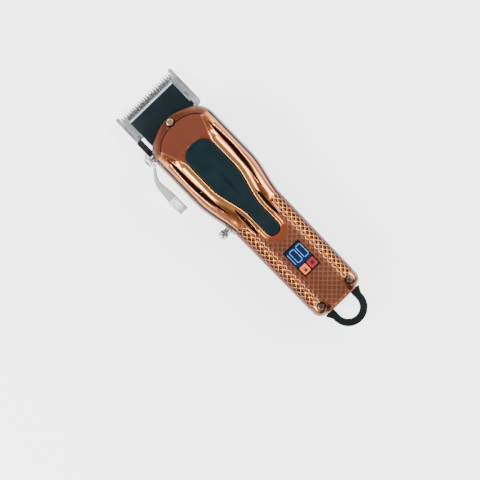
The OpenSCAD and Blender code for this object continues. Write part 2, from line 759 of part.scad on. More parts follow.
spring_r = 0.75;
spring_y = 10.3;
spring_x = platform_x0 + 5.4;
spring_z = platform_z + platform_t + spring_r + thread_gap;
spring_tip_x = cutter_back_x + 2.6;
spring_tip_z = cutter_top + spring_r + thread_gap;

// A bent wire: one bar across and two arms that press on the cutter.
module tension_spring() color(steel) {
  arm = [
    [spring_tip_x, spring_y, spring_tip_z],
    [spring_tip_x - 2.6, spring_y, spring_tip_z + 0.16],
    [spring_x + 1.6, spring_y, spring_z + 0.35],
    [spring_x + 0.5, spring_y - 0.4, spring_z],
    [spring_x, spring_y - 1.5, spring_z]];
  wire(concat(arm, [for (i = [len(arm) - 1 : -1 : 0]) [arm[i][0], -arm[i][1], arm[i][2]]]), spring_r, 12,
       [0.2, 0.05, 1]);
}

bridge_top = axle_z - crank_hub_r - 0.4;

module spring_bridge() color(black)
  difference() {
    block([spring_x - 4, -6.2, platform_z + platform_t], [spring_x + 1.6, 6.2, bridge_top]);
    rod_y(spring_x, spring_z, -big, big, spring_r + thread_gap);
    block([spring_x - spring_r - thread_gap, -big, 0], [spring_x + spring_r + thread_gap, big, spring_z]);
    translate([spring_x - 2.3, 0, 0]) both_sides(4.5) cylinder(r = 0.8 + thread_gap, h = big, $fn = fine);
  }

module bridge_screws() color(steel)
  translate([spring_x - 2.3, 0, bridge_top]) both_sides(4.5)
    pan_screw(0.8, bridge_top - platform_z - platform_t - 0.1, 1.5, 0.6);

module inner_lid() color(black)
  difference() {
    union() {
      block([spring_x + 1.8, -9, lid_top - lid_t], [nose_x - 6, 9, lid_top]);
      block([nose_x - 7, -lid_tongue, lid_top - lid_t], [nose_screw_x + 2, lid_tongue, lid_top]);
      both_sides(8) block([spring_x + 1.8, -1, platform_z + platform_t], [spring_x + 3.4, 1, lid_top]);
    }
    block([0, -5.2, 0], [follower_x1 + 0.6, 5.2, big]);
    rod_z(nose_screw_x, 0, 0, big, nose_screw_r + thread_gap);
  }

// ---------------------------------------------------------------- taper lever

hub_y0 = arm_y1 + 0.3;
hub_y1 = hub_y0 + 2.6;
lever_t = 2.8;
lever_bend = 11;
lever_out = 6.2;
lever_root_x = pivot_x - lever_hub_r + 1.2;
lever_tip_x = pivot_x - lever_len;

// Middle line and width of the lever arm in plan.
function lever_mid(x) = (hub_y0 + hub_y1) / 2 + lever_out * sin(90 * clamp((lever_root_x - x) / lever_bend));
function lever_half(x) = mix(2.6, lever_pad_w, smooth((lever_root_x - x) / (2 * lever_bend))) / 2;

module taper_lever() color(steel) {
  steps = 16;
  xs = [for (i = [0 : steps]) mix(lever_root_x, lever_tip_x, pow(i / steps, 1.4))];
  difference() {
    union() {
      rod_y(pivot_x, pivot_z, hub_y0, hub_y1, lever_hub_r);
      rod_y(pin_x, pin_z, arm_y0 + 0.6, hub_y0 + lap, pin_r);
      translate([0, 0, pivot_z - lever_t / 2]) linear_extrude(height = lever_t)
        polygon(concat(
          [for (x = xs) [x, lever_mid(x) + lever_half(x)]],
          [for (i = [steps : -1 : 0]) [xs[i], lever_mid(xs[i]) - lever_half(xs[i])]]));
    }
    rod_y(pivot_x, pivot_z, 0, big, stud_r + thread_gap);
  }
}

module lever_stud() color(steel)
  difference() {
    union() {
      rod_y(pivot_x, pivot_z, ear_y - 0.9, ear_y, stud_r + 0.6);
      rod_y(pivot_x, pivot_z, ear_y - lap, hub_y1 + 0.45, stud_r);
    }
    rod_y(pivot_x, pivot_z, hub_y1 - 3, big, 0.7 + thread_gap);
  }

module lever_washer() color(steel)
  difference() {
    rod_y(pivot_x, pivot_z, hub_y1 + thread_gap, hub_y1 + 0.4, 3.4);
    rod_y(pivot_x, pivot_z, 0, big, stud_r + thread_gap);
  }

module lever_screw() color(steel)
  translate([pivot_x, hub_y1 + 0.45, pivot_z]) rotate([-90, 0, 0]) pan_screw(0.7, 3, 3.0, 0.9);

// ---------------------------------------------------------------- motor

shaft_r = 1.15;
can_t = 0.9;
magnet_t = 2.2;
core_r = motor_r - can_t - magnet_t - 0.35;
motor_back_x = motor_x - motor_len;
ring_w = 3;
ring_t = 1.0;
ring_places = [motor_back_x + 5, motor_x - 5];

module motor_can() color(steel)
  difference() {
    union() {
      rod_x(motor_back_x, motor_x, 0, axle_z, motor_r);
      rod_x(motor_x - lap, motor_x + 2, 0, axle_z, 3.6);
    }
    rod_x(motor_back_x - 1, motor_x - can_t, 0, axle_z, motor_r - can_t);
    rod_x(0, big, 0, axle_z, shaft_r + thread_gap);
    for (s = [1, -1]) rod_x(motor_x - 4, big, s * 8, axle_z, 0.9 + thread_gap);
  }

module motor_magnets() color([0.25, 0.25, 0.27])
  for (s = [0, 180])
    translate([motor_x - can_t - 24, 0, axle_z]) rotate([s, 0, 0]) rotate([0, 90, 0])
      difference() {
        cylinder(r = motor_r - can_t - thread_gap, h = 23, $fn = fine);
        translate([0, 0, -1]) cylinder(r = motor_r - can_t - magnet_t, h = 26, $fn = fine);
        translate([-big / 2, -big + 2.5, -1]) cube([big, big, 26]);
      }

module motor_end_cap() color(black) {
  difference() {
    union() {
      rod_x(motor_back_x - 1.4, motor_back_x, 0, axle_z, motor_r);
      rod_x(motor_back_x - lap, motor_back_x + 2.4, 0, axle_z, motor_r - can_t - thread_gap);
      rod_x(motor_back_x - 3, motor_back_x, 0, axle_z, 3.6);
    }
    rod_x(motor_back_x - 2, big, 0, axle_z, shaft_r + thread_gap);
  }
  // The two brushes and their terminals.
  for (s = [1, -1]) {
    block([motor_back_x + 2, s > 0 ? 2.75 : -6.2, axle_z - 1],
          [motor_back_x + 5.6, s > 0 ? 6.2 : -2.75, axle_z + 1]);
    block([motor_back_x - 4.4, s * 6 - 1.1, axle_z + 3.6], [motor_back_x - 1, s * 6 + 1.1, axle_z + 4.2]);
  }
}

module motor_bracket() color(steel)
  difference() {
    intersection() {
      block([motor_x + clear, -15, axle_z - 8.4], [motor_x + 1.5, 15, axle_z + 8]);
      rod_x(motor_x, motor_x + 4, 0, axle_z, 15.5);
    }
    rod_x(0, big, 0, axle_z, 3.6 + clear);
    for (s = [1, -1]) rod_x(0, big, s * 8, axle_z, 0.9 + thread_gap);
  }

module motor_screws() color(steel)
  for (s = [1, -1])
    translate([motor_x + 1.5, s * 8, axle_z]) rotate([0, 90, 0]) pan_screw(0.9, 3.4, 1.7, 0.6);

module motor_rings() color(black)
  for (x = ring_places)
    difference() {
      rod_x(x - ring_w / 2, x + ring_w / 2, 0, axle_z, motor_r + ring_t);
      rod_x(0, big, 0, axle_z, motor_r + thread_gap);
    }

module rotor_shaft() color(steel) rod_x(motor_back_x - 1.8, crank_pin_x0 - 1.8, 0, axle_z, shaft_r);

module armature_core() color([0.4, 0.4, 0.42]) {
  difference() {
    rod_x(motor_x - 22, motor_x - 5, 0, axle_z, core_r);
    rod_x(0, big, 0, axle_z, shaft_r + 0.01);
    for (a = [0 : 120 : 240])
      translate([motor_x - 23, 0, axle_z]) rotate([a, 0, 0]) {
        block([0, -0.7, core_r - 2], [20, 0.7, core_r + 2]);
        block([0, -3.4, 3.2], [20, 3.4, core_r - 1.4]);
      }
  }
}

module armature_windings() color(winding_red)
  for (a = [0 : 120 : 240])
    translate([motor_x - 23.4, 0, axle_z]) rotate([a, 0, 0])
      block([0, -3.2, 3.4], [19.8, 3.2, core_r - 1.6]);

module commutator() color(brass)
  difference() {
    rod_x(motor_back_x + 1.4 + 1.2, motor_x - 23.6, 0, axle_z, 2.65);
    rod_x(0, big, 0, axle_z, shaft_r + 0.01);
  }

// ---------------------------------------------------------------- battery, boards and chassis

module battery_cell() color([0.2, 0.35, 0.6])
  rod_x(battery_x, battery_x + battery_len, 0, battery_z, battery_d / 2);

module battery_tabs() color(steel)
  for (x = [battery_x - 0.4, battery_x + battery_len + clear])
    block([x, -3, battery_z - 3], [x + 0.3, 3, battery_z + 7]);

board_x0 = tail_x + 15;
board_x1 = battery_x + battery_len - 9;
board_w = 22;
rib_w = 3;
battery_rib_x = [battery_x + 8, battery_x + 34, battery_x + 51];
chassis_z = 3.0;

module control_board() color(board_green)
  block([board_x0, -board_w / 2, board_z], [board_x1, board_w / 2, board_z + board_t]);

module display_module() color([0.1, 0.12, 0.2])
  window_block(-0.6, board_z + board_t, window_low - clear);

module board_parts() color([0.15, 0.15, 0.15]) {
  z = board_z + board_t;
  block([board_x1 - 18, -4, z], [board_x1 - 12, 2, z + 1.2]);
  block([board_x1 - 9, -8, z], [board_x1 - 4, -4, z + 1.6]);
  block([board_x1 - 20, 6, z], [board_x1 - 16, 9, z + 1.0]);
  block([board_x1 - 9, 3, z], [board_x1 - 2.6, 8.4, z + 2.2]);
  for (i = [0 : 3]) block([board_x0 + 1.2, -7 + 4 * i, z], [board_x0 + 2.8, -5.6 + 4 * i, z + 0.7]);
}

rail_y0 = 12.6;
rail_y1 = 13.9;
rail_z0 = 7.6;
rail_z1 = 10.2;
rib_half = 12.4;
motor_rib_half = 13.8;

// One cross rib of the chassis, with a seat for a round body.
module chassis_rib(x, half, seat_r, seat_z, top_z)
  translate([x, 0, 0]) rotate([90, 0, 90]) linear_extrude(height = rib_w)
    difference() {
      union() {
        polygon([[-7.2, chassis_z], [7.2, chassis_z], [rail_y1, rail_z0], [rail_y1, rail_z1],
                 [-rail_y1, rail_z1], [-rail_y1, rail_z0]]);
        translate([-half, rail_z1 - lap]) square([2 * half, top_z - rail_z1 + lap]);
      }
      translate([0, seat_z]) circle(r = seat_r, $fn = fine);
      translate([-seat_r * 0.98, seat_z]) square([2 * seat_r * 0.98, big]);
    }

module chassis() color(black) {
  for (x = ring_places)
    chassis_rib(x - rib_w / 2, motor_rib_half, motor_r + ring_t + thread_gap, axle_z, axle_z);
  for (x = battery_rib_x) chassis_rib(x, rib_half, battery_d / 2 + clear, battery_z, board_z);
  for (s = [1, -1])
    block([battery_rib_x[0] + 1, s > 0 ? rail_y0 : -rail_y1, rail_z0],
          [ring_places[1] + 1, s > 0 ? rail_y1 : -rail_y0, rail_z1]);
}

// ---------------------------------------------------------------- wires

// A round wire that follows a list of points.
module wire(points, r, sides = 8, across = [0, 1, 0]) {
  last = len(points) - 1;
  function along(i) = let (a = points[max(0, i - 1)], b = points[min(last, i + 1)]) (b - a) / norm(b - a);
  loft([for (i = [0 : last]) let (d = along(i), u = cross(d, across), v = u / norm(u), w = cross(d, v))
    [for (k = [0 : sides - 1]) points[i] + r * (cos(360 * k / sides) * v + sin(360 * k / sides) * w)]]);
}

wire_r = 0.7;

// Control points for one side; the other side is their mirror image.
motor_lead = [[motor_back_x - 3, 6, axle_z + 5], [motor_back_x - 5, 6, axle_z + 6.5],
              [6, 5.4, 25.6], [0, 5, 26.2], [-5, 4.6, 26], [board_x1 - 1.4, 4.4, board_z + board_t + 0.8]];
battery_lead = [[battery_x + battery_len + 1.2, 1.6, battery_z + 2],
                [battery_x + battery_len + 2.4, 1.8, battery_z + 5],
                [battery_x + battery_len + 1.2, 2.0, board_z + 0.6],
                [battery_x + battery_len - 5, 1.8, board_z + 2.8],
                [board_x1 - 1.4, 1.4, board_z + board_t + 0.8]];
charge_lead = [[tail_x + 9.2, 3, charge_board_z + charge_board_t + 0.9], [tail_x + 9.9, 3, 15],
               [tail_x + 9.9, 3, 21], [tail_x + 11.4, 3, board_z + 2.3],
               [board_x0 + 0.6, 3, board_z + board_t + 0.85]];

module lead_pair(points) for (s = [1, -1]) wire([for (p = points) [p[0], s * p[1], p[2]]], wire_r);

module motor_leads() color([0.7, 0.1, 0.1]) lead_pair(motor_lead);
module battery_leads() color([0.7, 0.1, 0.1]) lead_pair(battery_lead);
module charge_leads() color([0.7, 0.1, 0.1]) lead_pair(charge_lead);

// ---------------------------------------------------------------- nodes

front_shell();
rear_cover();
grip_inlay();
inner_lid();
nose_screw();
tail_screws();
back_screws();
display_window();
display_module();
control_board();
board_parts();
charge_board();
charge_socket();
hanging_loop();
battery_cell();
battery_tabs();
chassis();
motor_can();
motor_magnets();
motor_end_cap();
motor_bracket();
motor_screws();
motor_rings();
armature_core();
armature_windings();
commutator();
rotor_shaft();
crank_cam();
cutter_blade();
cutter_follower();
follower_screws();
tension_spring();
spring_bridge();
bridge_screws();
blade_platform();
platform_screws();
blade_carriage();
guide_screws();
stationary_blade();
blade_screws();
lever_stud();
taper_lever();
lever_washer();
lever_screw();
switch_knob();
switch_bezel();
switch_body();
motor_leads();
battery_leads();
charge_leads();
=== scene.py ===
"""Hair clipper: looks of the casing, blade set, lever, switch, display and drive."""

import logging
import math
from dataclasses import dataclass, field
from enum import Enum
from typing import Iterable, Sequence

import bmesh
import bpy
import numpy as np
from mathutils import Matrix, Vector, kdtree


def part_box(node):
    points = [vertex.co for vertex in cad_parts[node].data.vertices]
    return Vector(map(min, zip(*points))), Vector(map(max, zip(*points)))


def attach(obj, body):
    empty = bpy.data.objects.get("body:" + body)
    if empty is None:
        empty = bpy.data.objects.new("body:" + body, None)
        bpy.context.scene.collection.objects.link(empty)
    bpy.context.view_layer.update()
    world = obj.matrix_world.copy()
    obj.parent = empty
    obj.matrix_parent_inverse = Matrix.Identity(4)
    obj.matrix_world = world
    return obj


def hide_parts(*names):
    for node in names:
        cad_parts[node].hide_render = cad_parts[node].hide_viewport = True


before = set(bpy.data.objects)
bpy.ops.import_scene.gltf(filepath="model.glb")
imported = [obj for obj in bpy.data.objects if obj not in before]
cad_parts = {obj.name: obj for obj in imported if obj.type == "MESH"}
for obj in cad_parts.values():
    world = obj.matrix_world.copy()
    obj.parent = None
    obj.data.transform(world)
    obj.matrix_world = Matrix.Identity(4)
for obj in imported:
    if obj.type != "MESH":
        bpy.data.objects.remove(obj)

MM = 0.001
CASING = "casing"
CUTTER = "cutter"
BLADE_SLIDE = "blade_slide"
LEVER = "lever"
SWITCH = "switch"
log = logging.getLogger("clipper")

Array = np.ndarray
Colour = tuple[float, float, float]
Outline = list[tuple[float, float]]
Part = bpy.types.Object
Tree = bpy.types.NodeTree
Plug = bpy.types.NodeSocket


# ---- small sums


def mix(a: Array | float, b: Array | float, t: Array | float) -> Array | float:
    """Value between a and b at share t."""
    return a + (b - a) * t


def smooth(t: Array | float) -> Array:
    """Smooth step that rises from 0 to 1 as t does."""
    c = np.clip(t, 0.0, 1.0)
    return c * c * (3 - 2 * c)


def window(offset: Array, half: Array | float) -> Array:
    """Soft window across a line.

    Args:
        offset: distance from the line.
        half: half the width of the window; nothing is open where it is 0.

    Returns:
        1 on the line, falling to 0 at half and beyond.
    """
    wide = np.maximum(half, 1e-7)
    return (0.5 + 0.5 * np.cos(np.pi * np.clip(np.abs(offset) / wide, 0, 1))) * (np.asarray(half) > 1e-6)


def arc_drop(d: Array, r: float) -> Array:
    """How far a rounded corner of radius r has drawn in, at distance d from its end."""
    inside = np.clip(r - d, 0.0, r)
    return r - np.sqrt(np.maximum(0.0, r * r - inside * inside))


# ---- meshes


def new_object(name: str, mesh: bpy.types.Mesh) -> Part:
    """Puts a mesh in the scene as an object with the same name.

    Args:
        name: name it is made with.
        mesh: mesh to show.

    Returns:
        The new object.
    """
    piece = bpy.data.objects.new(name, mesh)
    bpy.context.scene.collection.objects.link(piece)
    return piece


def mesh_from(name: str, points: Array, faces: Sequence[Sequence[int]]) -> Part:
    """Makes an object from points and faces, with its normals turned out.

    Args:
        name: the object's name.
        points: n by 3 array of places in metres.
        faces: lists of point numbers.

    Returns:
        The new object.
    """
    mesh = bpy.data.meshes.new(name)
    mesh.from_pydata(np.asarray(points, float).tolist(), [], [list(map(int, f)) for f in faces])
    mesh.validate()
    shape = bmesh.new()
    shape.from_mesh(mesh)
    bmesh.ops.recalc_face_normals(shape, faces=shape.faces)
    shape.to_mesh(mesh)
    shape.free()
    return new_object(name, mesh)


def tube_faces(rings: int, around: int) -> list[list[int]]:
    """Faces of a closed tube whose rings each have the same number of points.

    Args:
        rings: number of rings.
        around: number of points on each ring.

    Returns:
        The faces, as lists of point numbers.
    """
    i, j = np.meshgrid(np.arange(rings - 1), np.arange(around), indexing="ij")
    k = (j + 1) % around
    quads = np.stack([i * around + j, (i + 1) * around + j, (i + 1) * around + k, i * around + k], -1)
    faces = quads.reshape(-1, 4).tolist()
    faces.append(list(range(around)))
    faces.append([(rings - 1) * around + j for j in reversed(range(around))])
    return faces


def loft(name: str, rings: Array) -> Part:
    """Closed tube through rings, an array of ring by point by 3."""
    count, around = rings.shape[:2]
    return mesh_from(name, rings.reshape(-1, 3), tube_faces(count, around))


def shade(piece: Part, angle: float = 32.0) -> Part:
    """Shades a piece smooth, and keeps its edges sharp above an angle in degrees.

    Args:
        piece: object to change.
        angle: angle in degrees above which an edge is sharp.

    Returns:
        The same object.
    """
    piece.data.polygons.foreach_set("use_smooth", [True] * len(piece.data.polygons))
    piece.data.set_sharp_from_angle(angle=math.radians(angle))
    return piece


def settle(piece: Part) -> Part:
    """Applies every modifier of a piece to its mesh.

    Args:
        piece: object to change.

    Returns:
        The same object, with its new mesh.
    """
    bpy.context.view_layer.update()
    graph = bpy.context.evaluated_depsgraph_get()
    mesh = bpy.data.meshes.new_from_object(piece.evaluated_get(graph))
    mesh.name = piece.name
    piece.modifiers.clear()
    piece.data = mesh
    return piece


class Carve(Enum):
    """Ways in which one solid changes another."""

    CUT = "DIFFERENCE"
    ADD = "UNION"


def carve(piece: Part, tools: Iterable[Part], way: Carve = Carve.CUT) -> Part:
    """Cuts closed tools out of a closed piece, or adds them, and throws the tools away.

    Args:
        piece: object to change.
        tools: closed solids to use, which are removed.
        way: whether the tools are cut out or added.

    Returns:
        The same object.
    """
    used = list(tools)
    for tool in used:
        change = piece.modifiers.new("carve", "BOOLEAN")
        change.operation = way.value
        change.solver = "MANIFOLD"
        change.object = tool
    settle(piece)
    for tool in used:
        bpy.data.objects.remove(tool)
    return piece


def rounded(piece: Part, radius: float, steps: int = 3, angle: float = 30.0) -> Part:
    """Rounds the sharp edges of a piece.

    Args:
        piece: object to change.
        radius: radius of the rounding.
        steps: number of faces across the rounding.
        angle: angle in degrees above which an edge is rounded.

    Returns:
        The same object.
    """
    bevel = piece.modifiers.new("round", "BEVEL")
    bevel.width = radius
    bevel.segments = steps
    bevel.limit_method = "ANGLE"
    bevel.angle_limit = math.radians(angle)
    bevel.harden_normals = False
    return shade(settle(piece))


def block(name: str, low: Sequence[float], high: Sequence[float]) -> Part:
    """Plain box between two corners, for cutting or for rounding.

    Args:
        name: name it is made with.
        low: lower corner.
        high: upper corner.

    Returns:
        The new object.
    """
    x0, y0, z0 = low
    x1, y1, z1 = high
    ring = [(y0, z0), (y1, z0), (y1, z1), (y0, z1)]
    return loft(name, np.array([[(x, y, z) for y, z in ring] for x in (x0, x1)], float))


def prism(name: str, outline: Outline, z0: float, z1: float) -> Part:
    """Upright solid with an outline in plan, from z0 to z1."""
    return loft(name, np.array([[(x, y, z) for x, y in outline] for z in (z0, z1)], float))


def turned(name: str, profile: Outline, base: Vector, axis: Vector, sides: int = 64) -> Part:
    """Turned solid.

    Args:
        name: the object's name.
        profile: pairs of distance along the axis and radius, each radius above 0.
        base: the point on the axis that distances count from.
        axis: the direction of the axis.
        sides: the number of points round it.

    Returns:
        The new object.
    """
    turn = Vector((0, 0, 1)).rotation_difference(axis).to_matrix()
    angles = np.linspace(0, 2 * math.pi, sides, endpoint=False)
    rings = []
    for along, radius in profile:
        ring = [base + turn @ Vector((radius * math.cos(a), radius * math.sin(a), along)) for a in angles]
        rings.append([tuple(p) for p in ring])
    return loft(name, np.array(rings, float))


def arc_points(cx: float, cy: float, r: float, start: float, stop: float, steps: int) -> Outline:
    """Points on an arc in plan, with its angles in degrees.

    Args:
        cx: middle's first coordinate.
        cy: middle's second coordinate.
        r: radius.
        start: first angle.
        stop: last angle.
        steps: number of steps between them.

    Returns:
        The points, one more than the steps.
    """
    turns = np.radians(np.linspace(start, stop, steps + 1))
    return [(cx + r * math.cos(a), cy + r * math.sin(a)) for a in turns]


def joined(name: str, parts: Sequence[Part]) -> Part:
    """Joins separate meshes into one object.

    Args:
        name: name it is made with.
        parts: objects to join, which are removed.

    Returns:
        The new object.
    """
    shape = bmesh.new()
    for part in parts:
        shape.from_mesh(part.data)
        bpy.data.objects.remove(part)
    mesh = bpy.data.meshes.new(name)
    shape.to_mesh(mesh)
    shape.free()
    return new_object(name, mesh)


# ---- shader effects


class Socket(Enum):
    """Kinds of socket that an effect group has."""

    NUMBER = "NodeSocketFloat"
    VECTOR = "NodeSocketVector"


def open_group(name: str, inputs: dict[str, tuple[Socket, float]], outputs: dict[str, Socket]) -> tuple:
    """Starts a shader node group with named sockets.

    Args:
        name: the group's name.
        inputs: name to kind and default of each input.
        outputs: name to kind of each output.

    Returns:
        The group, its input node and its output node.
    """
    group = bpy.data.node_groups.new(name, "ShaderNodeTree")
    for label, (kind, default) in inputs.items():
        socket = group.interface.new_socket(label, in_out="INPUT", socket_type=kind.value)
        if kind is Socket.NUMBER:
            socket.default_value = default
    for label, kind in outputs.items():
        group.interface.new_socket(label, in_out="OUTPUT", socket_type=kind.value)
    return group, group.nodes.new("NodeGroupInput"), group.nodes.new("NodeGroupOutput")


def math_node(tree: Tree, operation: str, a: object, b: object) -> Plug:
    """Adds a Math node that takes sockets or numbers, and returns its output.

    Args:
        tree: node tree to add to.
        operation: sum that the node does.
        a: first value.
        b: second value.

    Returns:
        The node's output.
    """
    node = tree.nodes.new("ShaderNodeMath")
    node.operation = operation
    for socket, value in zip(node.inputs, (a, b)):
        if isinstance(value, Plug):
            tree.links.new(value, socket)
        else:
            socket.default_value = value
    return node.outputs[0]


def noise_node(tree: Tree, place: object, scale: object, detail: float = 4.0) -> Plug:
    """Adds a Noise Texture on a place and returns its Fac output.

    Args:
        tree: node tree to add to.
        place: socket that holds the place on the surface.
        scale: size of the pattern, as a number or a socket.
        detail: how much fine detail the noise has.

    Returns:
        The node's Fac output.
    """
    node = tree.nodes.new("ShaderNodeTexNoise")
    node.inputs["Detail"].default_value = detail
    tree.links.new(place, node.inputs["Vector"])
    if isinstance(scale, Plug):
        tree.links.new(scale, node.inputs["Scale"])
    else:
        node.inputs["Scale"].default_value = scale
    return node.outputs["Fac"]


def range_node(tree: Tree, value: Plug, low: float, high: float, to_low: float, to_high: float) -> Plug:
    """Adds a Map Range node with fixed limits and returns its result.

    Args:
        tree: node tree to add to.
        value: socket to map.
        low: lower limit.
        high: upper limit.
        to_low: what the lower limit becomes.
        to_high: what the upper limit becomes.

    Returns:
        The node's result.
    """
    node = tree.nodes.new("ShaderNodeMapRange")
    tree.links.new(value, node.inputs["Value"])
    for label, number in (("From Min", low), ("From Max", high), ("To Min", to_low), ("To Max", to_high)):
        node.inputs[label].default_value = number
    return node.outputs["Result"]


class Effects:
    """Shader node groups that the finishes share. Each one is built once."""

    def __init__(self) -> None:
        """Builds the four groups."""
        self.mottle = self._mottle()
        self.grain = self._grain()
        self.pebble = self._pebble()
        self.wear = self._wear()

    def _mottle(self) -> Tree:
        """Slow clouding of a surface, with fine dust in it: a mask from 0 to 1.

        Returns:
            The group.
        """
        group, given, put = open_group(
            "handled_mottle",
            {"Place": (Socket.VECTOR, 0), "Size": (Socket.NUMBER, 60.0)},
            {"Mask": Socket.NUMBER},
        )
        broad = noise_node(group, given.outputs["Place"], given.outputs["Size"], 3.0)
        close = noise_node(group, given.outputs["Place"], 2600.0, 2.0)
        both = math_node(
            group, "ADD", math_node(group, "MULTIPLY", broad, 0.72),
            math_node(group, "MULTIPLY", close, 0.28),
        )
        group.links.new(range_node(group, both, 0.32, 0.68, 0.0, 1.0), put.inputs["Mask"])
        return group

    def _grain(self) -> Tree:
        """Fine lines drawn out along one way, as a brush or a grinding wheel leaves them.

        Returns:
            The group.
        """
        group, given, put = open_group(
            "drawn_grain",
            {
                "Place": (Socket.VECTOR, 0), "Stretch": (Socket.NUMBER, 40.0),
                "Size": (Socket.NUMBER, 5200.0),
            },
            {"Mask": Socket.NUMBER},
        )
        split = group.nodes.new("ShaderNodeSeparateXYZ")
        join = group.nodes.new("ShaderNodeCombineXYZ")
        group.links.new(given.outputs["Place"], split.inputs[0])
        group.links.new(
            math_node(group, "DIVIDE", split.outputs["Y"], given.outputs["Stretch"]), join.inputs["Y"]
        )
        group.links.new(split.outputs["X"], join.inputs["X"])
        group.links.new(split.outputs["Z"], join.inputs["Z"])
        lines = noise_node(group, join.outputs[0], given.outputs["Size"], 3.0)
        group.links.new(range_node(group, lines, 0.3, 0.7, 0.0, 1.0), put.inputs["Mask"])
        return group

    def _pebble(self) -> Tree:
        """Fine moulded texture: small raised grains, as a height.

        Returns:
            The group.
        """
        group, given, put = open_group(
            "moulded_pebble",
            {"Place": (Socket.VECTOR, 0), "Size": (Socket.NUMBER, 2200.0)},
            {"Height": Socket.NUMBER},
        )
        cells = group.nodes.new("ShaderNodeTexVoronoi")
        cells.feature = "SMOOTH_F1"
        group.links.new(given.outputs["Place"], cells.inputs["Vector"])
        group.links.new(given.outputs["Size"], cells.inputs["Scale"])
        group.links.new(
            range_node(group, cells.outputs["Distance"], 0.0, 0.7, 1.0, 0.0), put.inputs["Height"]
        )
        return group

    def _wear(self) -> Tree:
        """Where edges stand out and are rubbed, broken up by noise: a mask from 0 to 1.

        Returns:
            The group.
        """
        group, given, put = open_group(
            "edge_wear",
            {"Place": (Socket.VECTOR, 0), "Amount": (Socket.NUMBER, 0.5)},
            {"Mask": Socket.NUMBER},
        )
        shape = group.nodes.new("ShaderNodeNewGeometry")
        edges = range_node(group, shape.outputs["Pointiness"], 0.52, 0.6, 0.0, 1.0)
        broken = range_node(
            group, noise_node(group, given.outputs["Place"], 700.0, 5.0), 0.4, 0.62, 0.0, 1.0
        )
        worn = math_node(
            group, "MULTIPLY", math_node(group, "MULTIPLY", edges, broken), given.outputs["Amount"]
        )
        group.links.new(worn, put.inputs["Mask"])
        return group


class Texture(Enum):
    """Which texture a finish has in its surface."""

    POLISHED = "polished"
    DRAWN = "drawn"
    MOULDED = "moulded"


